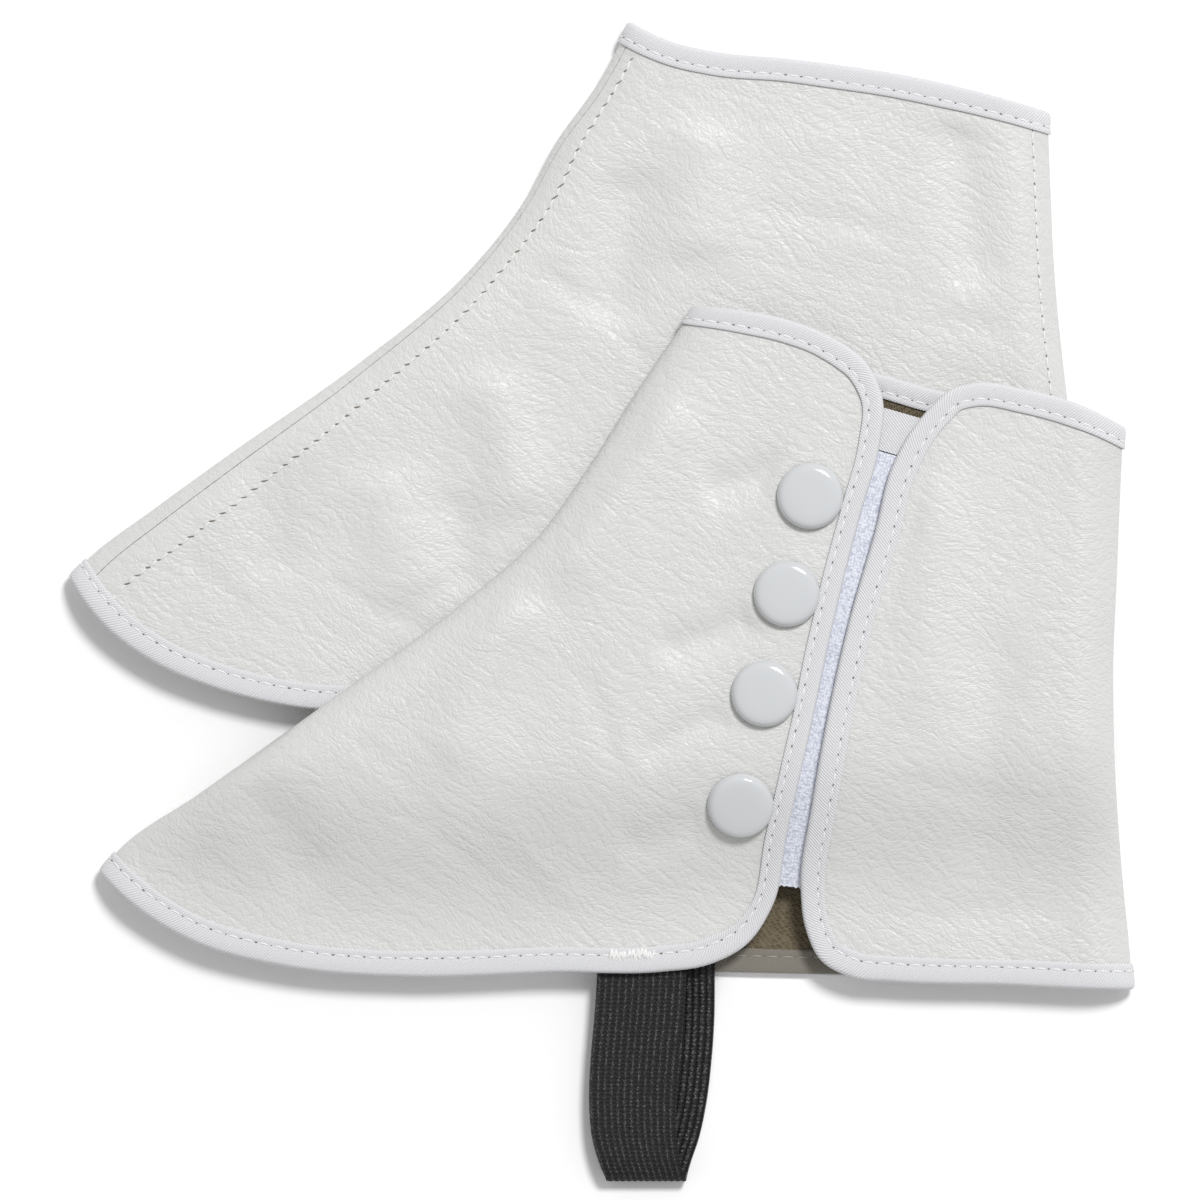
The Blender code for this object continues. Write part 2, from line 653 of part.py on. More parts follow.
right = Spat("right", RIGHT, -1, None, turned(LEFT_BUTTONS))
left = Spat("left", LEFT, 1, right.inner.bottom.samples, LEFT_BUTTONS)
build(right, RIGHT_STRAP, turned(LEFT_TAPE))
build(left, LEFT_STRAP, LEFT_TAPE)
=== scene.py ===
"""A pair of white leatherette spats laid out flat: the left one over the hem of the right one.

Each spat is a low tube of backed leatherette with three panels. Its raw edges are bound in twill,
four domed buttons hold its flap over a knit tape, and an elastic strap runs under the boot.
"""

import math
from collections import namedtuple

import bpy
import numpy as np
from mathutils import Matrix


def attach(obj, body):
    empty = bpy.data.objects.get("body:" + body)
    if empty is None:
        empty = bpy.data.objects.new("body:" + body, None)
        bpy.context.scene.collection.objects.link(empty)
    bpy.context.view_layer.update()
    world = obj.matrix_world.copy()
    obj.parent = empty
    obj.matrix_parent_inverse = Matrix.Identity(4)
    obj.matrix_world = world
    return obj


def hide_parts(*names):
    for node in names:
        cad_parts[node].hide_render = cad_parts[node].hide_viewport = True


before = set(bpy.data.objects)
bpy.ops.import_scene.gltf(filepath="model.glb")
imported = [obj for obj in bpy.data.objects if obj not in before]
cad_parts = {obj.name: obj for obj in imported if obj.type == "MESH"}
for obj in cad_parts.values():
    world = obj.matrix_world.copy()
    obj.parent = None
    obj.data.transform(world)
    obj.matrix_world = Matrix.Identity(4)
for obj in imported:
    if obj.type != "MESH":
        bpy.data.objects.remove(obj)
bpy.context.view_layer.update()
bpy.ops.object.select_all(action="DESELECT")


# The table and the light. The pair lies on a plain white table and is looked at from straight above.
# One large soft light stands at the upper right, and the pale room fills in the rest.
VIEW_CENTRE = (-0.0006, 0.0005)
VIEW_WIDTH = 0.3456
LENS = 400.0
SENSOR = 36.0
TABLE_SIZE = 6.0
TABLE_DROP = 0.0001
KEY_PLACE = (1.17, 1.91, 3.32)
KEY_SIZE = 1.00
KEY_POWER = 114.0
ROOM_LIGHT = 0.51


def new_finish(name, **values):
    """A material, its node tree and its shader, with some of the shader's sockets set."""
    finish = bpy.data.materials.new(name)
    finish.use_nodes = True
    shader = finish.node_tree.nodes["Principled BSDF"]
    for socket, value in values.items():
        shader.inputs[socket.replace("_", " ")].default_value = value
    return finish, finish.node_tree, shader


view_height = VIEW_WIDTH * LENS / SENSOR
bpy.ops.object.camera_add(location=(*VIEW_CENTRE, view_height), rotation=(0, 0, 0))
camera = bpy.context.object
camera.data.lens = LENS
camera.data.sensor_width = SENSOR
camera.data.clip_start = 0.1
camera.data.clip_end = 20.0
bpy.context.scene.camera = camera

bpy.ops.mesh.primitive_plane_add(size=TABLE_SIZE, location=(0, 0, -TABLE_DROP))
table = bpy.context.object
table.name = "table"
table_white, _, _ = new_finish(
    "table white", Base_Color=(0.97, 0.97, 0.97, 1.0), Roughness=0.9, Specular_IOR_Level=0.1
)
table.data.materials.append(table_white)

bpy.ops.object.light_add(type="AREA", location=KEY_PLACE)
key_light = bpy.context.object
key_light.data.shape = "DISK"
key_light.data.size = KEY_SIZE
key_light.data.energy = KEY_POWER
east, north, up = KEY_PLACE
key_light.rotation_euler = (math.atan2(math.hypot(east, north), up), 0.0, math.atan2(east, -north))

room = bpy.data.worlds.new("room")
room.use_nodes = True
room.node_tree.nodes["Background"].inputs["Color"].default_value = (1.0, 1.0, 1.0, 1.0)
room.node_tree.nodes["Background"].inputs["Strength"].default_value = ROOM_LIGHT
bpy.context.scene.world = room
bpy.context.scene.view_settings.view_transform = "Standard"


# The front quarters. Each is cut from white leatherette backed with beige knit, and runs from the
# flap on the outer side, over the instep fold, to the instep seam on the inner side.
LEATHERETTE = 0.0012
GAP = 0.0003
LOWER = LEATHERETTE / 2
UPPER = LOWER + 0.0090
FOLD_MIDDLE = 0.0032
UPPER_REACH = 0.0130
LOWER_REACH = 0.0035
UPPER_ARC = 0.0158
LOWER_ARC = 0.0050
# How far the instep seam lies from the fold, at shares of its height.
SEAM_WRAP = ((0.0, 0.0050), (0.12, 0.0040), (0.30, 0.0033), (0.45, 0.0024), (0.55, 0.0019),
             (0.77, 0.0011), (0.87, 0.0017), (1.0, 0.0017))
SEAM_WRAP_MOST = 0.93
SEAM_GAP = 0.00016
SEAM_RISE = 0.0003
FOLD_INSET = LEATHERETTE / 2
BINDING = 0.0005
BINDING_WIDTH = 0.0048
LEG_OFFSET = 0.00115
LEG_OUTERMOST = 0.0009
EDGE_INSET = LEG_OUTERMOST + BINDING / 2
EDGE_LIFT = LEG_OFFSET + BINDING / 2 - LEATHERETTE / 2
EDGE_FADE = 0.0080
CLIMB = 0.0113
CLIMB_START = 0.0720
CLIMB_END = 0.0090
DROOP = 0.0020
DROOP_START = 0.1340
DROOP_END = 0.1560
BUTTON_RADIUS = 0.009525
BUTTON_HEIGHT = 0.0036
BUTTON_SEAT = LEATHERETTE / 2 + GAP
BUTTON_ROOM = BUTTON_SEAT + BUTTON_HEIGHT - LOWER
ROOM_FLAT = 0.0120
ROOM_FADE = 0.0480
TOP_CELL = 0.0010
HIDDEN_CELL = 0.0017
# How far up a panel its width is taken, to space its columns.
WIDTH_ROW = 0.4
BACK_WIDTH_ROW = 0.5

# The lines of one spat's outline: x and y of its bound edges and of its folds.
Outline = namedtuple(
    "Outline", "instep heel front_hem flap front_top heel_hem under heel_top inner_hem inner_top"
)

LEFT = Outline(
    instep=((-0.1445, -0.0778), (-0.1394, -0.0718), (-0.1158, -0.0552), (-0.0759, -0.0267),
            (-0.0406, -0.0008), (-0.0186, 0.0185), (-0.0032, 0.0394), (0.0109, 0.0616),
            (0.0265, 0.0852)),
    heel=((0.1524, -0.1116), (0.1520, -0.1028), (0.1498, -0.0801), (0.1472, -0.0456),
          (0.1467, -0.0225), (0.1479, 0.0109), (0.1500, 0.0503)),
    front_hem=((-0.1445, -0.0778), (-0.1356, -0.0864), (-0.1173, -0.0977), (-0.0916, -0.1047),
               (-0.0548, -0.1077), (-0.0121, -0.1065), (0.0173, -0.1063), (0.0305, -0.1043),
               (0.0415, -0.0985)),
    flap=((0.0415, -0.0985), (0.0489, -0.0876), (0.0530, -0.0671), (0.0603, -0.0341),
          (0.0658, -0.0083), (0.0740, 0.0248), (0.0794, 0.0443), (0.0803, 0.0585),
          (0.0759, 0.0682)),
    front_top=((0.0759, 0.0682), (0.0651, 0.0762), (0.0540, 0.0806), (0.0374, 0.0839),
               (0.0265, 0.0852)),
    heel_hem=((0.1524, -0.1116), (0.1377, -0.1112), (0.1175, -0.1102), (0.0834, -0.1092),
              (0.0723, -0.1081), (0.0628, -0.1030)),
    under=((0.0628, -0.1030), (0.0585, -0.0942), (0.0570, -0.0824), (0.0601, -0.0582),
           (0.0636, -0.0377), (0.0711, -0.0041), (0.0785, 0.0215), (0.0827, 0.0379),
           (0.0878, 0.0479), (0.0941, 0.0558)),
    heel_top=((0.0941, 0.0558), (0.1000, 0.0610), (0.1068, 0.0627), (0.1214, 0.0608),
              (0.1332, 0.0578), (0.1500, 0.0503)),
    inner_hem=((-0.1445, -0.0778), (-0.1356, -0.0864), (-0.1173, -0.0970), (-0.0916, -0.1038),
               (-0.0548, -0.1066), (0.0173, -0.1066), (0.0500, -0.1073), (0.0973, -0.1085),
               (0.1524, -0.1116)),
    inner_top=((0.0265, 0.0852), (0.0455, 0.0768), (0.0650, 0.0690), (0.0826, 0.0647),
               (0.0958, 0.0609), (0.1146, 0.0580), (0.1500, 0.0503)),
)
LEFT_BUTTONS = ((0.0596, 0.0303), (0.0529, 0.0023), (0.0465, -0.0263), (0.0397, -0.0582))

# The right spat's opening is the left one's, face down: turned about one point and moved to another.
OPENING_TURN = math.radians(4.3)
OPENING_FROM = np.array((0.0600, -0.1070))
OPENING_TO = np.array((0.0510, -0.0273))


def turned(points):
    """Points of the left spat's opening, turned and moved to the right spat's."""
    across = np.array((math.cos(OPENING_TURN), math.sin(OPENING_TURN)))
    up = np.array((-across[1], across[0]))
    return tuple(
        tuple(OPENING_TO + across * dx + up * dy) for dx, dy in np.array(points) - OPENING_FROM
    )


RIGHT_FLAP = turned(LEFT.flap)
RIGHT_UNDER = turned(LEFT.under)
RIGHT = Outline(
    instep=((-0.1533, 0.0070), (-0.1481, 0.0121), (-0.1288, 0.0268), (-0.1067, 0.0428),
            (-0.0715, 0.0675), (-0.0384, 0.0951), (-0.0219, 0.1160), (-0.0130, 0.1325),
            (-0.0009, 0.1496), (0.0082, 0.1668)),
    heel=((0.1420, -0.0231), (0.1405, 0.0005), (0.1377, 0.0293), (0.1339, 0.0581),
          (0.1301, 0.0961), (0.1290, 0.1204), (0.1284, 0.1410)),
    front_hem=((-0.1533, 0.0070), (-0.1443, -0.0055), (-0.1285, -0.0170), (-0.1120, -0.0238),
               (-0.0902, -0.0290), (-0.0524, -0.0308), (0.0052, -0.0290), (0.0215, -0.0265),
               RIGHT_FLAP[0]),
    flap=RIGHT_FLAP,
    front_top=(RIGHT_FLAP[-1], (0.0424, 0.1550), (0.0320, 0.1571), (0.0210, 0.1600),
               (0.0082, 0.1668)),
    heel_hem=((0.1420, -0.0231), (0.1150, -0.0238), (0.0900, -0.0249), (0.0733, -0.0263),
              (0.0633, -0.0268), RIGHT_UNDER[0]),
    under=RIGHT_UNDER,
    heel_top=(RIGHT_UNDER[-1], (0.0783, 0.1425), (0.0850, 0.1448), (0.1050, 0.1450),
              (0.1284, 0.1410)),
    inner_hem=((-0.1533, 0.0070), (-0.1443, -0.0055), (-0.1285, -0.0176), (-0.1120, -0.0246),
               (-0.0902, -0.0300), (-0.0524, -0.0318), (0.0052, -0.0297), (0.0858, -0.0254),
               (0.1420, -0.0231)),
    inner_top=((0.0082, 0.1668), (0.0210, 0.1606), (0.0320, 0.1581), (0.0540, 0.1559),
               (0.0926, 0.1501), (0.1284, 0.1410)),
)

# Creases: each a soft trough (depth below 0) or ridge (above 0) from one place to another, bowed to
# its left.
Crease = namedtuple("Crease", "x1 y1 x2 y2 bow width depth")
CREASE_END = 0.35
CREASE_EDGE_ROOM = 0.0060
CREASE_EDGE_FADE = 0.0080
CREASE_FOLD_ROOM = 0.0020
CREASE_FOLD_FADE = 0.0100
CREASE_BUTTON_FADE = 0.0060
CREASES = {
    "left_outer": (
        (-0.104, -0.052, -0.082, -0.080, 0.0020, 0.0085, -0.0013),
        (-0.044, -0.046, -0.024, 0.000, 0.0020, 0.0090, 0.0017),
        (-0.010, 0.006, 0.020, 0.056, 0.0010, 0.0095, 0.0014),
        (0.030, 0.032, 0.052, 0.038, 0.0000, 0.0055, -0.0012),
        (0.018, -0.014, 0.044, -0.004, -0.0010, 0.0055, -0.0014),
        (0.012, -0.044, 0.036, -0.032, 0.0010, 0.0045, -0.0010),
        (0.006, -0.070, 0.030, -0.062, -0.0010, 0.0060, -0.0010),
        (-0.070, -0.040, -0.046, -0.064, 0.0015, 0.0028, -0.0003),
        (-0.058, -0.060, -0.030, -0.082, 0.0010, 0.0024, -0.0003),
        (-0.006, -0.020, 0.004, -0.048, 0.0010, 0.0030, -0.0004),
        (-0.030, -0.060, -0.006, -0.086, -0.0015, 0.0034, 0.0003),
        (0.096, 0.034, 0.090, -0.030, 0.0010, 0.0090, 0.0010),
        (0.112, -0.008, 0.108, -0.075, 0.0012, 0.0080, -0.0010),
        (0.086, -0.052, 0.128, -0.060, 0.0010, 0.0036, -0.0003),
        (0.092, -0.092, 0.130, -0.088, 0.0010, 0.0045, -0.0003),
    ),
    "left_inner": (
        (-0.090, -0.050, -0.070, -0.078, 0.0020, 0.0080, 0.0007),
        (-0.030, -0.012, -0.022, -0.050, 0.0020, 0.0070, 0.0008),
        (0.014, 0.040, 0.010, 0.004, -0.0015, 0.0090, 0.0006),
        (0.060, 0.046, 0.072, -0.010, 0.0020, 0.0080, 0.0007),
        (0.040, -0.040, 0.090, -0.052, -0.0020, 0.0060, 0.0004),
        (0.118, 0.020, 0.112, -0.060, 0.0015, 0.0085, 0.0006),
        (0.000, -0.070, 0.036, -0.090, 0.0010, 0.0050, 0.0005),
    ),
    "right_outer": (
        (-0.104, 0.028, -0.090, 0.000, 0.0020, 0.0080, 0.0006),
        (-0.052, 0.058, -0.040, 0.012, 0.0020, 0.0085, 0.0007),
        (-0.014, 0.108, 0.004, 0.060, -0.0020, 0.0090, 0.0006),
        (0.094, 0.120, 0.104, 0.050, 0.0020, 0.0090, 0.0006),
        (0.084, 0.010, 0.118, -0.004, 0.0015, 0.0050, 0.0004),
    ),
    "right_inner": (
        (-0.100, 0.042, -0.094, 0.008, 0.0010, 0.0090, -0.0010),
        (-0.066, 0.036, -0.056, 0.002, 0.0020, 0.0100, 0.0013),
        (-0.034, 0.064, -0.025, 0.027, 0.0020, 0.0090, 0.0016),
        (-0.043, 0.030, -0.040, 0.004, 0.0015, 0.0060, -0.0009),
        (0.010, 0.122, 0.004, 0.082, -0.0020, 0.0085, -0.0017),
        (0.028, 0.136, 0.027, 0.100, 0.0015, 0.0100, 0.0014),
        (0.062, 0.136, 0.072, 0.098, 0.0015, 0.0120, 0.0005),
        (0.101, 0.138, 0.107, 0.092, 0.0010, 0.0075, -0.0013),
        (-0.120, 0.014, -0.100, -0.006, 0.0010, 0.0032, -0.0003),
        (-0.078, 0.006, -0.040, -0.012, -0.0015, 0.0032, -0.0003),
        (-0.020, 0.096, 0.012, 0.070, 0.0020, 0.0034, -0.0004),
        (0.044, 0.112, 0.086, 0.104, 0.0020, 0.0036, -0.0003),
        (0.094, 0.080, 0.118, 0.076, 0.0010, 0.0040, -0.0003),
    ),
}


def smooth(value):
    """Goes from 0 to 1 as the value does, starting and ending straight and level."""
    value = np.clip(value, 0.0, 1.0)
    return value ** 3 * (10 - 15 * value + 6 * value * value)


def unit(vectors):
    return vectors / np.linalg.norm(vectors, axis=-1, keepdims=True)


def running_total(steps):
    return np.concatenate([[0.0], np.cumsum(steps)])


def length_along(path):
    """The length along a path at each of its points."""
    return running_total(np.linalg.norm(np.diff(path, axis=0), axis=1))


class Line:
    """A smooth line through a few points, read by the fraction of its length."""

    STEPS = 20
    TURN_STEP = 0.004

    def __init__(self, samples):
        self.samples = samples
        self.along = length_along(samples)
        self.length = self.along[-1]

    @classmethod
    def through(cls, points):
        knots = np.array(points, float)
        when = length_along(knots)
        slopes = np.gradient(knots, when, axis=0, edge_order=2)
        samples = [knots[:1]]
        step = np.linspace(0, 1, cls.STEPS + 1)[1:, None]
        for i, span in enumerate(np.diff(when)):
            ease = step * step * (3 - 2 * step)
            leave = step * (1 - step) ** 2 * span
            arrive = step * step * (step - 1) * span
            samples.append(
                (1 - ease) * knots[i] + ease * knots[i + 1]
                + leave * slopes[i] + arrive * slopes[i + 1]
            )
        return cls(np.concatenate(samples))

    def stretch(self, first, last):
        """The part between two of the points that the line was drawn through."""
        return Line(self.samples[first * self.STEPS:last * self.STEPS + 1])

    def at(self, fraction):
        where = np.clip(fraction, 0.0, 1.0) * self.length
        return np.stack(
            [np.interp(where, self.along, self.samples[:, axis]) for axis in (0, 1)], axis=-1
        )

    def direction(self, fraction):
        return unit(self.at(fraction + self.TURN_STEP) - self.at(fraction - self.TURN_STEP))


def leftward(points):
    """The direction to the left of each point as the line is followed."""
    ahead = unit(np.gradient(np.array(points, float), axis=0))
    return np.stack([-ahead[:, 1], ahead[:, 0]], axis=1)


def inset(points, distance):
    return np.array(points, float) + leftward(points) * distance


def joined(*lines):
    """One list of points from lines that share their ends."""
    points = list(lines[0])
    for line in lines[1:]:
        points.extend(line[1:])
    return points


def distance_to(points, plan):
    """How far each place is from the nearest of some points."""
    nearest = np.full(plan.shape[:-1], np.inf)
    for x, y in points:
        nearest = np.minimum(nearest, np.hypot(plan[..., 0] - x, plan[..., 1] - y))
    return nearest


def fold_reach(side):
    """How far from a fold the upper (1) or lower (-1) layer bends."""
    return UPPER_REACH if side > 0 else LOWER_REACH


class Panel:
    """A cut of cloth between four lines, on the upper (1) or lower (-1) layer of a spat."""

    def __init__(self, spat, side, left, right, bottom, top, left_fold, right_fold):
        self.spat, self.side = spat, side
        self.left, self.right, self.bottom, self.top = left, right, bottom, top
        self.left_fold, self.right_fold = left_fold, right_fold

    def plan(self, u, v):
        """The place at the fraction u across and v up."""
        left, right = self.left.at(v), self.right.at(v)
        bottom, top = self.bottom.at(u), self.top.at(u)
        u, v = np.asarray(u)[..., None], np.asarray(v)[..., None]
        low = (1 - u) * self.left.at(0.0) + u * self.right.at(0.0)
        high = (1 - u) * self.left.at(1.0) + u * self.right.at(1.0)
        return (1 - u) * left + u * right + (1 - v) * (bottom - low) + v * (top - high)

    def reach(self, v, from_left=True):
        """The panel's width at v, or from a fold, how far it would reach square to it."""
        if not (self.left_fold if from_left else self.right_fold):
            return np.linalg.norm(self.right.at(v) - self.left.at(v), axis=-1)
        start, step = (0.0, 0.02) if from_left else (1.0, -0.02)
        line = self.left if from_left else self.right
        side = np.full(np.shape(v), start)
        across = (self.plan(side + step, v) - self.plan(side, v)) / abs(step)
        ahead = line.direction(v)
        return abs(ahead[..., 0] * across[..., 1] - ahead[..., 1] * across[..., 0])

    def height(self, plan, from_fold=1.0):
        """The middle of the smooth wall over a place, so far from a fold."""
        from_edge = distance_to(self.spat.bound[self.side], plan)
        lift = EDGE_LIFT * (1 - smooth((from_edge - BINDING_WIDTH) / EDGE_FADE))
        middle = FOLD_MIDDLE + lift
        bend = np.clip(from_fold / fold_reach(self.side), 0.0, 1.0)
        rise = np.sqrt(1 - (1 - bend) ** 2)
        if self.side > 0:
            level = middle + (UPPER - middle) * rise
        else:
            flat = LOWER + lift + self.spat.room(plan)
            level = middle - (middle - flat) * rise
        return level + self.spat.ground(plan)

    def from_fold(self, u, v):
        """How far a place of the panel is from its nearest fold."""
        distance = np.ones(np.broadcast(u, v).shape)
        if self.left_fold:
            distance = np.minimum(distance, u * self.reach(v))
        if self.right_fold:
            distance = np.minimum(distance, (1 - u) * self.reach(v, False))
        return distance

    def points(self, u, v):
        """The middle of the smooth wall at the fractions u across and v up."""
        u, v = np.broadcast_arrays(np.asarray(u, float), np.asarray(v, float))
        plan = self.plan(u, v)
        height = self.height(plan, self.from_fold(u, v))
        return np.concatenate([plan, height[..., None]], axis=-1)


def arc_steps(side, cell):
    """Grid steps round a fold."""
    return round((UPPER_ARC if side > 0 else LOWER_ARC) / cell)


def fold_distances(side, cell, start=0.0):
    """Distances from a fold at even turns round it, from a height above it to where it lies flat."""
    rise = UPPER - FOLD_MIDDLE if side > 0 else FOLD_MIDDLE - LOWER
    turns = np.linspace(math.asin(start / rise), math.pi / 2, arc_steps(side, cell) + 1)
    return fold_reach(side) * (1 - np.cos(turns))


class Spat:
    """One spat: its outline, which side lies up, and what it lies on."""

    def __init__(self, name, outline, outer_side, ground_hem, buttons):
        self.name, self.outline, self.outer_side = name, outline, outer_side
        self.ground_hem = ground_hem
        self.buttons = np.array(buttons)
        self.cut()

    def ground(self, plan):
        """The height of what the spat lies on."""
        if self.ground_hem is None:
            return 0.0
        hem = np.interp(plan[..., 0], self.ground_hem[:, 0], self.ground_hem[:, 1])
        climbed = smooth((plan[..., 1] - hem + CLIMB_START) / (CLIMB_START - CLIMB_END))
        droop = DROOP * smooth((plan[..., 0] - DROOP_START) / (DROOP_END - DROOP_START))
        return climbed * (CLIMB - droop)

    def room(self, plan):
        """How far the lower layer lifts for the buttons under it."""
        if self.outer_side > 0:
            return 0.0
        distance = np.full(plan.shape[:-1], np.inf)
        for start, end in zip(self.buttons[:-1], self.buttons[1:]):
            run = end - start
            along = np.clip(((plan - start) @ run) / (run @ run), 0, 1)
            nearest = start + along[..., None] * run
            distance = np.minimum(distance, np.linalg.norm(plan - nearest, axis=-1))
        return BUTTON_ROOM * (1 - smooth((distance - ROOM_FLAT) / ROOM_FADE))

    def cut(self):
        """Sets out the three panels between their lines."""
        shape = self.outline
        edge = joined(shape.front_hem, shape.flap, shape.front_top)
        heel_edge = joined(shape.heel_hem, shape.under, shape.heel_top)
        instep = inset(shape.instep, -FOLD_INSET)
        heel = inset(shape.heel, FOLD_INSET)
        inner_hem = inset(shape.inner_hem, EDGE_INSET)
        inner_top = inset(shape.inner_top, -EDGE_INSET)
        edge_inside = leftward(edge) * EDGE_INSET
        heel_inside = leftward(heel_edge) * -EDGE_INSET
        toe = instep[0] + edge_inside[0]
        tip = instep[-1] + edge_inside[-1]
        heel_low = heel[0] + heel_inside[0]
        heel_high = heel[-1] + heel_inside[-1]
        edge = np.array(edge) + edge_inside
        heel_edge = np.array(heel_edge) + heel_inside
        instep[0] = edge[0] = inner_hem[0] = toe
        instep[-1] = edge[-1] = inner_top[0] = tip
        heel[0] = heel_edge[0] = inner_hem[-1] = heel_low
        heel[-1] = heel_edge[-1] = inner_top[-1] = heel_high
        instep, heel = Line.through(instep), Line.through(heel)
        hem_end = len(shape.front_hem) - 1
        flap_end = hem_end + len(shape.flap) - 1
        edge = Line.through(edge)
        flap = edge.stretch(hem_end, flap_end)
        front_top = Line(edge.stretch(flap_end, flap_end + len(shape.front_top) - 1).samples[::-1])
        front_hem = edge.stretch(0, hem_end)
        under_start = len(shape.heel_hem) - 1
        under_end = under_start + len(shape.under) - 1
        heel_edge = Line.through(heel_edge)
        under = heel_edge.stretch(under_start, under_end)
        heel_hem = Line(heel_edge.stretch(0, under_start).samples[::-1])
        heel_top = heel_edge.stretch(under_end, under_end + len(shape.heel_top) - 1)
        inner_hem, inner_top = Line.through(inner_hem), Line.through(inner_top)
        side = self.outer_side
        self.bound = {
            side: np.concatenate([edge.samples, heel_edge.samples]),
            -side: np.concatenate([inner_hem.samples, inner_top.samples]),
        }
        self.front = Panel(self, side, instep, flap, front_hem, front_top, True, False)
        self.inner = Panel(self, -side, instep, heel, inner_hem, inner_top, True, True)
        self.back = Panel(self, side, under, heel, heel_hem, heel_top, False, True)


def column(panel, distance, rows, from_left=True):
    """A grid column so far from a panel's side line, as (panel, u for each row)."""
    share = distance / panel.reach(rows, from_left)
    return panel, share if from_left else 1 - share


def between(panel, first, last, count):
    """Grid columns at even steps between two others."""
    steps = np.linspace(0, 1, count + 1)[1:-1]
    return [(panel, (1 - step) * first[1] + step * last[1]) for step in steps]


def seam_wrap(side, rows):
    """How far the front quarter reaches past the instep fold at each row."""
    return np.minimum(np.interp(rows, *zip(*SEAM_WRAP)), SEAM_WRAP_MOST * fold_reach(side))


def front_columns(spat, rows, cell):
    """From the seam on the inner side, round the instep fold, to the flap's edge."""
    inner_side = -spat.outer_side
    reach = fold_reach(inner_side)
    wrap = np.arccos(1 - seam_wrap(inner_side, rows) / reach)
    steps = np.linspace(1, 0, arc_steps(inner_side, cell) // 2 + 3)[:-1]
    columns = [column(spat.inner, reach * (1 - np.cos(wrap * step)), rows) for step in steps]
    turn = fold_distances(spat.outer_side, cell)
    columns += [column(spat.front, distance, rows) for distance in turn]
    edge = (spat.front, np.ones(len(rows)))
    count = round(spat.front.reach(WIDTH_ROW) / cell)
    return columns + between(spat.front, columns[-1], edge, count) + [edge]


def cloth_grid(columns, rows):
    """The middle of the smooth wall, a column at a time."""
    return np.array([panel.points(u, rows) for panel, u in columns])


def crease_height(creases, plan):
    """How far the creases raise or lower the cloth at each place."""
    height = np.zeros(plan.shape[:-1])
    for crease in map(Crease._make, creases):
        start = np.array((crease.x1, crease.y1))
        run = np.array((crease.x2, crease.y2)) - start
        length = math.hypot(*run)
        ahead = run / length
        away = plan - start
        along = (away @ ahead) / length
        off = away[..., 1] * ahead[0] - away[..., 0] * ahead[1] - crease.bow * 4 * along * (1 - along)
        ends = smooth(along / CREASE_END + 0.5) * smooth((1 - along) / CREASE_END + 0.5)
        height += crease.depth * ends * np.exp(-(off / crease.width) ** 2)
    return height


def crease_lift(panel, plan, from_fold):
    """The creases of a panel, which fade out at the bindings, the folds and the buttons."""
    side = "outer" if panel.side == panel.spat.outer_side else "inner"
    from_edge = distance_to(panel.spat.bound[panel.side], plan)
    room = smooth((from_edge - CREASE_EDGE_ROOM) / CREASE_EDGE_FADE)
    room = room * smooth((from_fold - CREASE_FOLD_ROOM) / CREASE_FOLD_FADE)
    if side == "outer":
        from_button = distance_to(panel.spat.buttons, plan) - BUTTON_RADIUS
        room = room * smooth(from_button / CREASE_BUTTON_FADE)
    return room * crease_height(CREASES[f"{panel.spat.name}_{side}"], plan)


def creased(grid, columns, rows):
    """The same cloth with its creases."""
    made = grid.copy()
    for i, (panel, u) in enumerate(columns):
        made[i, :, 2] += crease_lift(panel, grid[i, :, :2], panel.from_fold(u, rows))
    return made


def laid_cloth(name, grid, wall, finishes, closed=False):
    """A sheet of cloth over a grid of points, with its thickness and a pattern laid out in metres."""
    across, along = grid.shape[0] - 1, grid.shape[1] - 1
    bpy.ops.object.select_all(action="DESELECT")
    bpy.ops.mesh.primitive_grid_add(x_subdivisions=across, y_subdivisions=along, size=1)
    piece = bpy.context.object
    piece.name = name
    piece.data.name = name
    mesh = piece.data
    places = np.empty(len(mesh.vertices) * 3)
    mesh.vertices.foreach_get("co", places)
    places = places.reshape(-1, 3)
    column_of = np.rint((places[:, 0] + 0.5) * across).astype(int)
    row_of = np.rint((places[:, 1] + 0.5) * along).astype(int)
    mesh.vertices.foreach_set("co", grid[column_of, row_of].ravel())
    laid_across = running_total(np.linalg.norm(np.diff(grid, axis=0), axis=2).mean(axis=1))
    laid_along = running_total(np.linalg.norm(np.diff(grid, axis=1), axis=2).mean(axis=0))
    corners = np.empty(len(mesh.loops), int)
    mesh.loops.foreach_get("vertex_index", corners)
    laid = np.stack([laid_across[column_of[corners]], laid_along[row_of[corners]]], axis=1)
    mesh.uv_layers[0].data.foreach_set("uv", laid.ravel())
    mesh.update()
    if closed:
        bpy.ops.object.mode_set(mode="EDIT")
        bpy.ops.mesh.select_all(action="SELECT")
        bpy.ops.mesh.remove_doubles(threshold=1e-6)
        bpy.ops.object.mode_set(mode="OBJECT")
    for finish in finishes:
        mesh.materials.append(finish)
    thicken = piece.modifiers.new("wall", "SOLIDIFY")
    thicken.thickness = wall
    thicken.offset = 0.0
    thicken.use_even_offset = False
    thicken.material_offset = len(finishes) - 1
    bpy.ops.object.modifier_apply(modifier=thicken.name)
    bpy.ops.object.shade_smooth_by_angle(angle=math.radians(50))
    return piece


def add_node(tree, kind, wired=None, **settings):
    """A shader node with its settings made, and its sockets set or linked by their names."""
    made = tree.nodes.new(kind)
    for name, value in settings.items():
        setattr(made, name, value)
    for socket, source in (wired or {}).items():
        target = made.inputs[socket]
        if isinstance(source, bpy.types.NodeSocket):
            tree.links.new(source, target)
        else:
            target.default_value = source
    return made


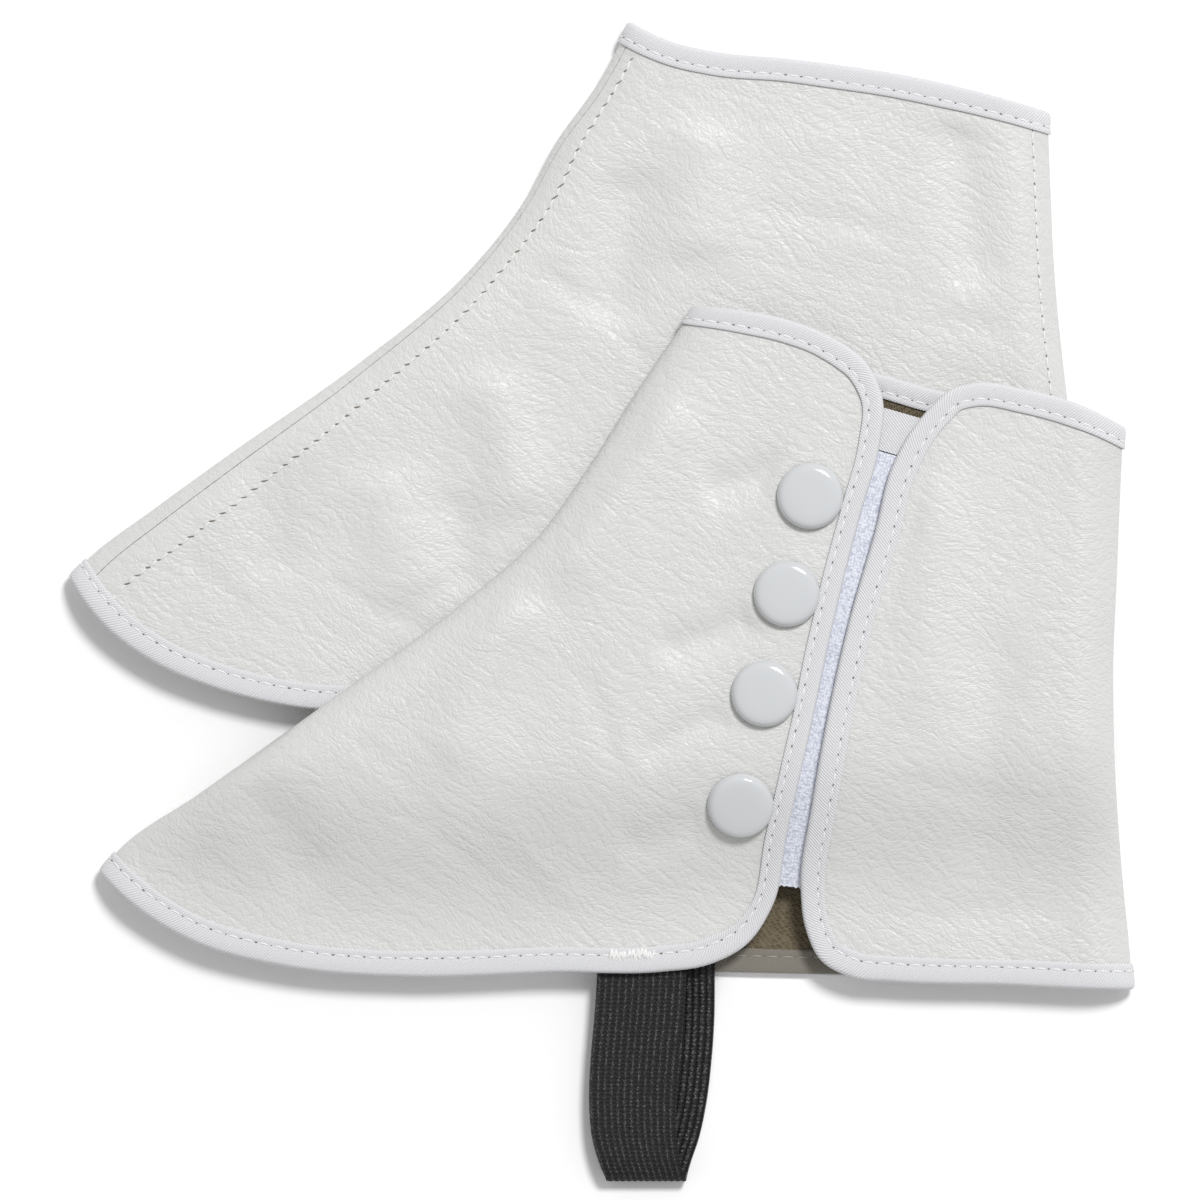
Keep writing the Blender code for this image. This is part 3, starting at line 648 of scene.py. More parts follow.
def cloth_place(tree):
    """Where a point lies on the cut cloth, in metres across and along it."""
    return add_node(tree, "ShaderNodeUVMap", uv_map="UVMap").outputs[0]


def object_place(tree):
    """Where a point lies on the piece, in metres."""
    return add_node(tree, "ShaderNodeTexCoord").outputs["Object"]


def rotated(tree, place, angle):
    """A place turned about the upright axis."""
    return add_node(tree, "ShaderNodeVectorRotate", rotation_type="Z_AXIS",
                    wired={"Vector": place, "Angle": angle}).outputs[0]


def math_node(tree, operation, first, second=None, third=None):
    """The output of a Math node on sockets or numbers."""
    values = {i: value for i, value in enumerate((first, second, third)) if value is not None}
    return add_node(tree, "ShaderNodeMath", operation=operation, wired=values).outputs[0]


def noise(tree, place, scale, detail=2.0):
    """Cloudy noise from 0 to 1."""
    return add_node(tree, "ShaderNodeTexNoise",
                    wired={"Vector": place, "Scale": scale, "Detail": detail}).outputs["Fac"]


def cells(tree, place, scale, randomness, feature="F1"):
    """The distance from the middle of a cell, or from its edge."""
    return add_node(
        tree, "ShaderNodeTexVoronoi", feature=feature,
        wired={"Vector": place, "Scale": scale, "Randomness": randomness},
    ).outputs["Distance"]


def ranged(tree, value, first, last, low=0.0, high=1.0, kind="LINEAR"):
    """A value that goes from low to high as another goes from its first value to its last."""
    return add_node(tree, "ShaderNodeMapRange", interpolation_type=kind,
                    wired={0: value, 1: first, 2: last, 3: low, 4: high}).outputs[0]


def mixed_colour(tree, share, *colours):
    """A colour between two, each a socket or its red, green and blue."""
    low, high = [part if isinstance(part, bpy.types.NodeSocket) else (*part, 1.0) for part in colours]
    return add_node(tree, "ShaderNodeMix", data_type="RGBA",
                    wired={0: share, 6: low, 7: high}).outputs[2]


def bumped(tree, height, distance, strength=1.0):
    """A facing that is tilted by a height."""
    return add_node(tree, "ShaderNodeBump",
                    wired={"Height": height, "Distance": distance, "Strength": strength}).outputs[0]


def new_group(name, inputs, outputs):
    """An empty shader group with its sockets, and its two end nodes."""
    group = bpy.data.node_groups.new(name, "ShaderNodeTree")
    for socket, kind, value in inputs:
        made = group.interface.new_socket(socket, in_out="INPUT", socket_type=kind)
        if value is not None:
            made.default_value = value
    for socket, kind in outputs:
        group.interface.new_socket(socket, in_out="OUTPUT", socket_type=kind)
    return group, group.nodes.new("NodeGroupInput"), group.nodes.new("NodeGroupOutput")


def grouped(tree, group, **wired):
    """The node of a group that is used in a material with its own values."""
    return add_node(tree, "ShaderNodeGroup", node_tree=group, wired=wired)


def make_wrinkle_group():
    """Fine wrinkles that wander along one heading, over a net of creased cells."""
    number, vector = "NodeSocketFloat", "NodeSocketVector"
    group, start, end = new_group(
        "wrinkled grain",
        (("Place", vector, None), ("Heading", number, 0.0), ("Length", number, 0.0056),
         ("Spacing", number, 0.0027)),
        (("Height", number),),
    )
    warped = start.outputs["Place"]
    for scale, wander in ((38.0, 0.0110), (170.0, 0.0022)):
        drift = add_node(group, "ShaderNodeTexNoise",
                         wired={"Vector": warped, "Scale": scale, "Detail": 1.5})
        centred = add_node(group, "ShaderNodeVectorMath", operation="SUBTRACT",
                           wired={0: drift.outputs["Color"], 1: (0.5, 0.5, 0.5)})
        pushed = add_node(group, "ShaderNodeVectorMath", operation="SCALE",
                          wired={0: centred.outputs[0], "Scale": wander})
        warped = add_node(group, "ShaderNodeVectorMath", operation="ADD",
                          wired={0: warped, 1: pushed.outputs[0]}).outputs[0]
    turned_place = rotated(group, warped, start.outputs["Heading"])
    cell = add_node(group, "ShaderNodeCombineXYZ",
                    wired={0: start.outputs["Length"], 1: start.outputs["Spacing"],
                           2: start.outputs["Length"]})
    stretched = add_node(group, "ShaderNodeVectorMath", operation="DIVIDE",
                         wired={0: turned_place, 1: cell.outputs[0]}).outputs[0]
    height = 0.0
    for scale, depth in ((1.0, 0.50), (2.1, 0.18)):
        field = noise(group, stretched, scale, 1.0)
        off = math_node(group, "ABSOLUTE", math_node(group, "SUBTRACT", field, 0.5))
        line = ranged(group, off, 0.0, 0.048, -1.0, 0.0, "SMOOTHSTEP")
        height = math_node(group, "MULTIPLY_ADD", line, depth, height)
    net = cells(group, stretched, 1.5, 1.0, "DISTANCE_TO_EDGE")
    seams = ranged(group, net, 0.0, 0.17, -1.0, 0.0, "SMOOTHSTEP")
    height = math_node(group, "MULTIPLY_ADD", seams, 0.95, height)
    group.links.new(height, end.inputs["Height"])
    return group


wrinkle_group = make_wrinkle_group()


def make_leatherette():
    """White coated cloth: satin, finely wrinkled, with a few longer lines over the grain."""
    finish, tree, shader = new_finish("white leatherette", Specular_IOR_Level=0.5)
    place = object_place(tree)
    level = grouped(tree, wrinkle_group, Place=place, Heading=-0.06).outputs[0]
    steep = grouped(tree, wrinkle_group, Place=place, Heading=1.05, Length=0.0044).outputs[0]
    patches = noise(tree, place, 21.0, 1.0)
    level_share = ranged(tree, patches, 0.40, 0.62, 0.35, 1.0, "SMOOTHSTEP")
    steep_share = ranged(tree, patches, 0.38, 0.60, 0.85, 0.15, "SMOOTHSTEP")
    level = math_node(tree, "MULTIPLY", level, level_share)
    grain = math_node(tree, "MULTIPLY_ADD", steep, steep_share, level)
    long_lines = grouped(tree, wrinkle_group, Place=place, Heading=0.62, Length=0.0260,
                         Spacing=0.0085).outputs[0]
    net = grouped(tree, wrinkle_group, Place=place, Heading=2.3, Length=0.0034,
                  Spacing=0.0026).outputs[0]
    height = math_node(tree, "MULTIPLY_ADD", net, 0.50, grain)
    height = math_node(tree, "MULTIPLY_ADD", long_lines, 1.10, height)
    height = math_node(tree, "MULTIPLY_ADD", noise(tree, place, 1300.0), 0.30, height)
    tree.links.new(bumped(tree, height, 0.00019, 0.42), shader.inputs["Normal"])
    tone = mixed_colour(tree, noise(tree, place, 30.0), (0.625, 0.625, 0.611), (0.680, 0.680, 0.667))
    tree.links.new(tone, shader.inputs["Base Color"])
    tree.links.new(ranged(tree, grain, -1.2, 0.0, 0.55, 0.36), shader.inputs["Roughness"])
    return finish


def make_shade_darkened_backing():
    """Knit on the back of the coated cloth, painted a darker brown than its real beige as the shade
    inside the opening, and darker in the hollows of its loops as painted shade.
    """
    finish, tree, shader = new_finish("beige knit backing", Roughness=0.95, Specular_IOR_Level=0.15)
    loops = cells(tree, rotated(tree, cloth_place(tree), 0.6), 1000.0, 0.45)
    tone = ranged(tree, loops, 0.15, 0.6)
    # Painted shade: the colour is darker than the real beige knit, for the shade inside the spat.
    colour = mixed_colour(tree, tone, (0.125, 0.100, 0.064), (0.185, 0.152, 0.102))
    tree.links.new(colour, shader.inputs["Base Color"])
    tree.links.new(bumped(tree, tone, 0.0003), shader.inputs["Normal"])
    return finish


leatherette = make_leatherette()
backing = make_shade_darkened_backing()

right = Spat("right", RIGHT, -1, None, turned(LEFT_BUTTONS))
left = Spat("left", LEFT, 1, right.inner.bottom.samples, LEFT_BUTTONS)


def quarter(spat, name, make_columns, cell, length):
    """One panel of a spat, made a sheet that replaces its plain solid."""
    rows = np.linspace(0, 1, round(length / cell) + 1)
    columns = make_columns(spat, rows, cell)
    grid = creased(cloth_grid(columns, rows), columns, rows)
    faces_up = np.cross(grid[-1, 3] - grid[-4, 3], grid[-1, 6] - grid[-1, 3])[2] > 0
    wants_up = columns[-1][0].side > 0
    if faces_up != wants_up:
        grid = grid[::-1]
    piece = laid_cloth(f"{spat.name}_{name}_cloth", grid, LEATHERETTE, (leatherette, backing))
    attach(piece, "root")
    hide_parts(f"{spat.name}_{name}")


quarter(left, "front_quarter", front_columns, TOP_CELL, 0.170)
quarter(right, "front_quarter", front_columns, HIDDEN_CELL, 0.190)


# The inner panels. Each is one piece of the same leatherette, sewn to the front quarter along the
# instep seam and to the heel quarter along the heel fold.
def inner_columns(spat, rows, cell):
    """From the instep seam to the heel fold."""
    side = -spat.outer_side
    reach = fold_reach(side)
    start = np.arccos(1 - (seam_wrap(side, rows) + SEAM_GAP) / reach)
    steps = np.linspace(0, 1, arc_steps(side, cell))
    turn = [start + (math.pi / 2 - start) * step for step in steps]
    columns = [column(spat.inner, reach * (1 - np.cos(angle)), rows) for angle in turn]
    heel = fold_distances(side, cell, SEAM_RISE)
    ending = [column(spat.inner, distance, rows, False) for distance in heel[::-1]]
    count = round(spat.inner.reach(WIDTH_ROW) / cell)
    return columns + between(spat.inner, columns[-1], ending[0], count) + ending


quarter(left, "inner_panel", inner_columns, HIDDEN_CELL, 0.190)
quarter(right, "inner_panel", inner_columns, TOP_CELL, 0.190)


# The heel quarters. Each closes the outer side from the edge under the flap to the heel fold, where
# it is sewn to the inner panel.
def back_columns(spat, rows, cell):
    """From the edge under the flap to the heel fold."""
    edge = (spat.back, np.zeros(len(rows)))
    heel = fold_distances(spat.outer_side, cell, SEAM_RISE)
    ending = [column(spat.back, distance, rows, False) for distance in heel[::-1]]
    count = round(spat.back.reach(BACK_WIDTH_ROW) / cell)
    return [edge] + between(spat.back, edge, ending[0], count) + ending


quarter(left, "heel_quarter", back_columns, TOP_CELL, 0.170)
quarter(right, "heel_quarter", back_columns, HIDDEN_CELL, 0.170)


# The bindings. A white twill tape is folded over the raw edge all the way round each spat and sewn
# through, wider on the hem than on the flap. Its ends meet low on the front hem.
BINDING_STEP = 0.0010
HEM_REACH = 0.0061
FLAP_REACH = 0.0047
TOP_REACH = 0.0054
UNDER_REACH = 0.0057
TWILL_THREAD = 0.00066
TURN_STEPS = 6
REACH_EASE = 17
SQUARE_START = 0.009
SQUARE_FADE = 0.013
PLAN_STEP = 0.004
SIDE_STEP = 0.03
SWAY = 0.00022
SWAY_OFF = 0.00005
PUCKER = 0.00007
PUCKER_SPAN = 0.16
LIP = 0.25
LIP_SPAN = 0.13
# Across the tape from its inner edge to the fold over the raw edge: its share of the leg, and how high
# it lies off the wall.
LegRow = namedtuple("LegRow", "share off")
LEG = (
    LegRow(0.00, 0.00086), LegRow(0.03, 0.00100), LegRow(0.14, 0.00112), LegRow(0.26, 0.00103),
    LegRow(0.33, 0.00094), LegRow(0.40, 0.00103), LegRow(0.55, 0.00117), LegRow(0.78, 0.00122),
    LegRow(1.00, 0.00114),
)
STITCH_ROW = 4
STITCH_PITCH = 0.0045
# The painted shade on the tape's leg inside the inner panel's hem, a taupe that stands in for the
# shade there: its distance from the hem's ends, and the share of the tape's width past which it lies.
PAINTED_SHADE_END = 0.006
PAINTED_SHADE_FROM = 0.56

Stretch = namedtuple("Stretch", "panel u v inward reach")


def even(length, step=BINDING_STEP):
    return np.linspace(0, 1, max(2, round(length / step)) + 1)


def end_width(panel, v):
    """The length of a panel's foot (v is 0) or top (v is 1)."""
    return (panel.top if v else panel.bottom).length


def bound_stretches(spat):
    """The loop of bound edges: round the hem, up the under edge, back along the top, down the flap."""
    front, inner, back = spat.front, spat.inner, spat.back
    inner_side = -spat.outer_side
    turn = fold_distances(spat.outer_side, BINDING_STEP)
    over = fold_distances(inner_side, BINDING_STEP)
    rise = fold_distances(spat.outer_side, BINDING_STEP, SEAM_RISE)
    under = fold_distances(inner_side, BINDING_STEP, SEAM_RISE)
    ends = []
    for v, inward, reach in ((0.0, 1, HEM_REACH), (1.0, -1, TOP_REACH)):
        row = np.array([v])
        first = turn / front.reach(row)
        body = first[-1] + (1 - first[-1]) * even(end_width(front, v))
        front_u = np.concatenate([first[:-1], body])
        first, last = over / inner.reach(row), 1 - under[::-1] / inner.reach(row, False)
        body = first[-1] + (last[0] - first[-1]) * even(end_width(inner, v))
        inner_u = np.concatenate([first[1:-1], body, last[1:]])
        last = 1 - rise[::-1] / back.reach(row, False)
        back_u = np.concatenate([last[0] * even(end_width(back, v)), last[1:]])
        ends.append([
            Stretch(front, front_u[::-1], v, inward, reach),
            Stretch(inner, inner_u, v, inward, reach),
            Stretch(back, back_u[::-1], v, inward, reach),
        ])
    hem, top = ends
    up = even(back.left.length)[1:-1]
    down = even(front.right.length)[::-1][1:-1]
    side = Stretch(back, 0.0, up, 0, UNDER_REACH)
    flap = Stretch(front, 1.0, down, 0, FLAP_REACH)
    return hem + [side] + [part._replace(u=part.u[::-1]) for part in top[::-1]] + [flap]


def eased(values, span):
    """Values along a closed loop, each made the mean of its neighbours."""
    window = np.ones(span) / span
    around = np.concatenate([values[-span:], values, values[:span]])
    return np.convolve(around, window, mode="same")[span:-span]


def even_pitch(length, pitch):
    """The pitch nearest to one that divides a length evenly."""
    return length / max(1, round(length / pitch))


def stations(part):
    """Where a stretch's points lie on its panel, and how tall the panel is there."""
    u, v = np.broadcast_arrays(np.asarray(part.u, float), np.asarray(part.v, float))
    return u, v, (1 - u) * part.panel.left.length + u * part.panel.right.length


def binding_grid(spat):
    """Points across and along the folded tape, and the cloth's facing at each station."""
    stretches = bound_stretches(spat)
    edge, guess, blend, reach = [], [], [], []
    for part in stretches:
        u, v, tall = stations(part)
        start = part.panel.points(u, v)
        edge.append(start)
        if part.inward:
            step = PLAN_STEP * part.inward / tall
            guess.append(unit(part.panel.plan(u, v + step) - start[:, :2]))
        else:
            step = SIDE_STEP if part.panel is spat.back else -SIDE_STEP
            guess.append(unit(part.panel.plan(u + step, v) - start[:, :2]))
        blend.append(smooth((part.panel.from_fold(u, v) - SQUARE_START) / SQUARE_FADE))
        reach.append(np.full(len(u), part.reach))
    edge = np.concatenate(edge)
    guess = np.concatenate(guess)
    blend = np.concatenate(blend)[:, None]
    reach = eased(np.concatenate(reach), REACH_EASE)
    ahead = np.roll(edge, -1, axis=0) - np.roll(edge, 1, axis=0)
    square = unit(np.stack([-ahead[:, 1], ahead[:, 0]], axis=1))
    square *= np.sign((square * guess).sum(axis=1, keepdims=True))
    inward = unit(blend * square + (1 - blend) * guess)
    along = length_along(edge)
    sway = 0.5 * np.sin(along / 0.0113 + 0.3) + 0.3 * np.sin(along / 0.0047 + 1.7)
    reach = reach + SWAY * sway
    wall = []
    for row in LEG:
        depth = reach * (1 - row.share)
        plan = edge[:, :2] + inward * depth[:, None]
        heights, begun = [], 0
        for part in stretches:
            u, v, tall = stations(part)
            taken = slice(begun, begun + len(u))
            lifted = np.clip(v + part.inward * depth[taken] / tall, 0, 1)
            fold = part.panel.from_fold(u, lifted) if part.inward else 1.0
            heights.append(part.panel.height(plan[taken], fold))
            begun += len(u)
        wall.append(np.concatenate([plan, np.concatenate(heights)[:, None]], axis=1))
    facing = unit(np.cross(ahead, wall[0] - edge))
    out = unit(edge - wall[0])
    out = unit(out - facing * (out * facing).sum(axis=1, keepdims=True))
    sewn_along = length_along(np.concatenate([wall[STITCH_ROW], wall[STITCH_ROW][:1]]))
    pucker = np.cos(2 * math.pi * sewn_along[:-1] / even_pitch(sewn_along[-1], STITCH_PITCH))
    section = []
    for side in (-1, 1):
        leg = []
        for row, place in zip(LEG, wall):
            near = math.exp(-((row.share - LEG[STITCH_ROW].share) / PUCKER_SPAN) ** 2)
            lip = LIP * (HEM_REACH - reach) * math.exp(-(row.share / LIP_SPAN) ** 2)
            off = row.off + lip + PUCKER * near * pucker + SWAY_OFF * sway
            leg.append(place + facing * side * np.reshape(off, (-1, 1)))
        section.append(leg)
    turn = []
    for angle in np.linspace(0, math.pi, TURN_STEPS + 1)[1:-1]:
        turn.append(edge + out * LEG_OUTERMOST * math.sin(angle)
                    - facing * LEG[-1].off * math.cos(angle))
    grid = np.array(section[0] + turn + section[1][::-1])
    grid = np.concatenate([grid, grid[:, :1]], axis=1)
    facing = np.concatenate([facing, facing[:1]])
    return grid, facing


def make_twill_group():
    """Diagonal ribs of a twill weave, crossed by its fine weft."""
    number, vector = "NodeSocketFloat", "NodeSocketVector"
    group, start, end = new_group(
        "twill weave",
        (("Laid", vector, None), ("Rib", number, TWILL_THREAD), ("Slant", number, 0.9)),
        (("Height", number), ("Shade", number)),
    )
    laid, thread_width = start.outputs["Laid"], start.outputs["Rib"]
    slanted = rotated(group, laid, start.outputs["Slant"])
    parts = add_node(group, "ShaderNodeSeparateXYZ", wired={0: slanted})
    turns = math_node(group, "DIVIDE", parts.outputs[0], thread_width)
    wavered = math_node(group, "MULTIPLY_ADD", noise(group, laid, 900.0, 1.0), 0.5, turns)
    rib = math_node(group, "SINE", math_node(group, "MULTIPLY", wavered, 2 * math.pi))
    picks = math_node(group, "DIVIDE", parts.outputs[1], thread_width)
    weft = math_node(group, "SINE", math_node(group, "MULTIPLY", picks, 2.6 * math.pi))
    height = math_node(group, "MULTIPLY_ADD", weft, 0.25, rib)
    group.links.new(height, end.inputs["Height"])
    group.links.new(ranged(group, height, -1.2, 0.6), end.inputs["Shade"])
    return group


twill_group = make_twill_group()


def make_twill():
    """White twill, painted darker in the hollows of its weave as shade, and painted taupe inside the
    hem as shade.
    """
    finish, tree, shader = new_finish(
        "white twill", Roughness=0.8, Sheen_Weight=0.15, Specular_IOR_Level=0.25
    )
    weave = grouped(tree, twill_group, Laid=cloth_place(tree))
    # Painted shade: the weave's hollows are coloured darker and cooler than its ribs.
    white = mixed_colour(tree, weave.outputs["Shade"], (0.63, 0.63, 0.66), (0.755, 0.755, 0.77))
    inside = add_node(tree, "ShaderNodeAttribute", attribute_name="painted_hem_shade").outputs["Fac"]
    # Painted shade: the tape's inner leg in the hem is coloured taupe to stand in for the shade inside
    # the opening.
    colour = mixed_colour(tree, inside, white, (0.235, 0.215, 0.185))
    tree.links.new(colour, shader.inputs["Base Color"])
    tree.links.new(bumped(tree, weave.outputs["Height"], 0.00010, 0.7), shader.inputs["Normal"])
    return finish


def painted_hem_shade_span(spat, grid):
    """Where the painted shade inside the inner panel's hem begins and ends, as shares of the binding's
    length.
    """
    hem = bound_stretches(spat)
    first = len(hem[0].u)
    last = first + len(hem[1].u)
    along = length_along(grid.mean(axis=0))
    return (along[first] + PAINTED_SHADE_END) / along[-1], (along[last] - PAINTED_SHADE_END) / along[-1]


def mark_painted_hem_shade(tape, spat, grid):
    """Marks the leg inside the inner panel's hem, where the white tape is painted taupe as shade."""
    first, last = painted_hem_shade_span(spat, grid)
    layer = tape.data.uv_layers[0].data
    laid = np.empty(2 * len(layer))
    layer.foreach_get("uv", laid)
    laid = laid.reshape(-1, 2)
    across, along = (laid / laid.max(axis=0)).T
    if spat.outer_side < 0:
        across = 1 - across
    inside = (along > first) & (along < last) & (across > PAINTED_SHADE_FROM)
    mark = tape.data.attributes.new("painted_hem_shade", "FLOAT", "CORNER")
    mark.data.foreach_set("value", inside.astype(np.float32))


twill = make_twill()
sewn_edges = {}
for spat in (left, right):
    grid, facing = binding_grid(spat)
    sewn_edges[spat.name] = (grid, facing)
    tape = laid_cloth(f"{spat.name}_binding_tape", grid, BINDING, (twill,), closed=True)
    # The inner leg in the inner panel's hem is painted taupe as shade.
    mark_painted_hem_shade(tape, spat, grid)
    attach(tape, "root")
    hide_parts(f"{spat.name}_binding")


# The stitching. White thread sews every binding through, holds the seam allowance down beside the
# instep fold and the heel fold, and tacks the ends of the strap. Each stitch sinks into its holes.
THREAD_RADIUS = 0.00030
THREAD_SINK = 0.00032
HOLE_LENGTH = 0.00040
HOLE_RADIUS = 0.00024
SEAM_PITCH = 0.0038
HEEL_STITCH_INSET = 0.0044
# The line beside the instep fold: how far from it, at shares of its height.
INSTEP_STITCHING = ((0.0, 0.0124), (0.22, 0.0122), (0.34, 0.0107), (0.45, 0.0088), (0.55, 0.0078),
                    (0.66, 0.0065), (0.80, 0.0066), (0.90, 0.0048), (1.0, 0.0046))
SEAM_SHARES = np.linspace(0.035, 0.965, 160)
LOOSE_TACKS = (((0.0458, 0.0750), (0.0444, 0.0726)), ((0.0500, 0.0745), (0.0457, 0.0684)))
LOOSE_PITCH = 0.0024
TACK_MIDDLE = (0.0086, -0.1014)
TACK_LENGTH = 0.0128
TACK_HEIGHT = 0.0044
TACK_POINTS = 22
TACK_THREAD = 1.5
RIGHT_TACK_SHIFT = (-0.0035, -0.0012)

Stitch = namedtuple("Stitch", "place ahead facing half radius")


def facing_of(panel, u, v):
    """Which way the outside of the spat faces at a place on a panel."""
    step = 0.002
    across = panel.points(u + step, v) - panel.points(u - step, v)
    ahead = panel.points(u, v + step) - panel.points(u, v - step)
    facing = unit(np.cross(across, ahead))
    return facing * np.sign(facing[..., 2:]) * panel.side


def sewn_path(path, facing, pitch, rng, slant=0.0, share=0.40, gash=1.0):
    """Stitches and holes at an even pitch along a path on the cloth."""
    along = length_along(path)
    pitch = even_pitch(along[-1], pitch)

    def read(values, where):
        return np.stack([np.interp(where, along, values[:, axis]) for axis in range(3)], axis=-1)

    stitches, holes = [], []
    for middle in np.arange(0.5 * pitch, along[-1], pitch):
        ahead = unit(read(path, middle + 0.4 * pitch) - read(path, middle - 0.4 * pitch))
        up = unit(read(facing, middle))
        across = np.cross(up, ahead)
        leaning = ahead * math.cos(slant) + across * math.sin(slant)
        half = pitch * share * rng.uniform(0.92, 1.05)
        stitches.append(Stitch(read(path, middle), leaning, up, half, THREAD_RADIUS))
        hole = read(path, middle + 0.5 * pitch)
        torn = ahead * math.cos(3 * slant) - across * math.sin(3 * slant)
        wide = HOLE_LENGTH * gash * rng.uniform(0.5, 1.2)
        holes.append(Stitch(hole, torn, up, wide, HOLE_RADIUS * rng.uniform(0.6, 1.1)))
    return stitches, holes


def stitch_shape():
    """One low capsule, six-sided, as points and faces."""
    bpy.ops.mesh.primitive_uv_sphere_add(
        segments=6, ring_count=5, radius=1, rotation=(0, math.pi / 2, 0)
    )
    bpy.ops.object.transform_apply(location=False, rotation=True, scale=False)
    shape = bpy.context.object
    points = np.array([vertex.co for vertex in shape.data.vertices])
    faces = sorted(tuple(face.vertices) for face in shape.data.polygons)
    bpy.data.objects.remove(shape)
    return points, faces


def thread_mesh(name, holes, stitches, shaded_hem_stitches, finishes):
    """All the stitches and needle holes of one spat as one joined mesh, the stitches in the hem
    painted with shade.
    """
    shape, faces = stitch_shape()
    points, joined_faces, kinds = [], [], []
    for kind, made in enumerate((holes, stitches, shaded_hem_stitches)):
        for stitch in made:
            across = unit(np.cross(stitch.facing, stitch.ahead))
            rise = 1.0 if kind else 0.35
            sink = THREAD_SINK if kind else 0.0
            lift = stitch.radius * rise * shape[:, 2:] - sink * shape[:, :1] ** 2
            begun = sum(len(part) for part in points)
            points.append(
                stitch.place + stitch.ahead * stitch.half * shape[:, :1]
                + across * stitch.radius * shape[:, 1:2] + stitch.facing * lift
            )
            joined_faces.extend(tuple(begun + corner for corner in face) for face in faces)
            kinds.extend([kind] * len(faces))
    mesh = bpy.data.meshes.new(name)
    mesh.from_pydata(np.concatenate(points).tolist(), [], joined_faces)
    for finish in finishes:
        mesh.materials.append(finish)
    mesh.polygons.foreach_set("material_index", kinds)
    mesh.shade_smooth()
    piece = bpy.data.objects.new(name, mesh)
    bpy.context.scene.collection.objects.link(piece)
    return piece


def make_thread(name, colour, roughness):
    """Spun polyester thread, thread painted darker as shade, or the shade in a needle hole."""
    finish, tree, shader = new_finish(name, Roughness=roughness)
    fibre = noise(tree, object_place(tree), 2600.0)
    shade = mixed_colour(tree, fibre, [0.86 * part for part in colour], colour)
    tree.links.new(shade, shader.inputs["Base Color"])
    return finish


# Painted shade: the white thread in the inner panel's hem is coloured grey-brown for the shade inside
# the opening.
shaded_thread = make_thread("thread inside the hem", (0.36, 0.34, 0.30), 0.8)
thread = make_thread("white thread", (0.87, 0.87, 0.86), 0.6)
hole_shade = make_thread("needle hole shade", (0.23, 0.20, 0.17), 0.9)


def seam_path(panel, shares, distances, from_left):
    """A line up a panel so far from its fold, on the outside of the cloth, and how it faces."""
    share = distances / panel.reach(shares, from_left)
    u = share if from_left else 1 - share
    path = panel.points(u, shares)
    path[:, 2] += crease_lift(panel, path[:, :2], panel.from_fold(u, shares))
    facing = facing_of(panel, u, shares)
    return path + facing * (LEATHERETTE / 2 + THREAD_RADIUS * 0.4), facing


def strap_tack(spat, rng):
    """The bar of close zigzag stitches that holds the strap's end inside the front hem."""
    places = []
    for i in range(TACK_POINTS):
        across = TACK_LENGTH * (i / (TACK_POINTS - 1) - 0.5) + rng.uniform(-0.0003, 0.0003)
        up = TACK_HEIGHT * (0.5 if i % 2 else -0.5) * rng.uniform(0.6, 1.0)
        places.append((TACK_MIDDLE[0] + across, TACK_MIDDLE[1] + up))
    places = np.array(places)
    if spat.outer_side < 0:
        places = places + (OPENING_TO - OPENING_FROM) + RIGHT_TACK_SHIFT
    stitches = []
    for start, end in zip(places[:-1], places[1:]):
        middle = (start + end) / 2
        height = spat.front.height(middle) + spat.outer_side * (LEG[STITCH_ROW].off + BINDING / 2)
        ahead = np.array((*(end - start), 0.0))
        up = np.array((0.0, 0.0, float(spat.outer_side)))
        place = np.array((*middle, height)) + up * THREAD_RADIUS * rng.uniform(0.2, 1.2)
        half = np.linalg.norm(ahead) / 2
        stitches.append(Stitch(place, unit(ahead), up, half, THREAD_RADIUS * TACK_THREAD))
    return stitches


def loose_tacks(spat):
    """Two short stitch runs that show near the top of the front quarter."""
    stitches = []
    for start, end in np.array(LOOSE_TACKS):
        count = max(1, round(np.linalg.norm(end - start) / LOOSE_PITCH))
        for i in range(count):
            middle = start + (end - start) * (i + 0.5) / count
            height = spat.front.height(middle) + LEATHERETTE / 2
            height += crease_lift(spat.front, middle, 1.0)
            place = np.array((*middle, height + THREAD_RADIUS * 0.4))
            ahead = unit(np.array((*(end - start), 0.0)))
            half = np.linalg.norm(end - start) / count * 0.42
            stitches.append(Stitch(place, ahead, np.array((0.0, 0.0, 1.0)), half, THREAD_RADIUS))
    return stitches


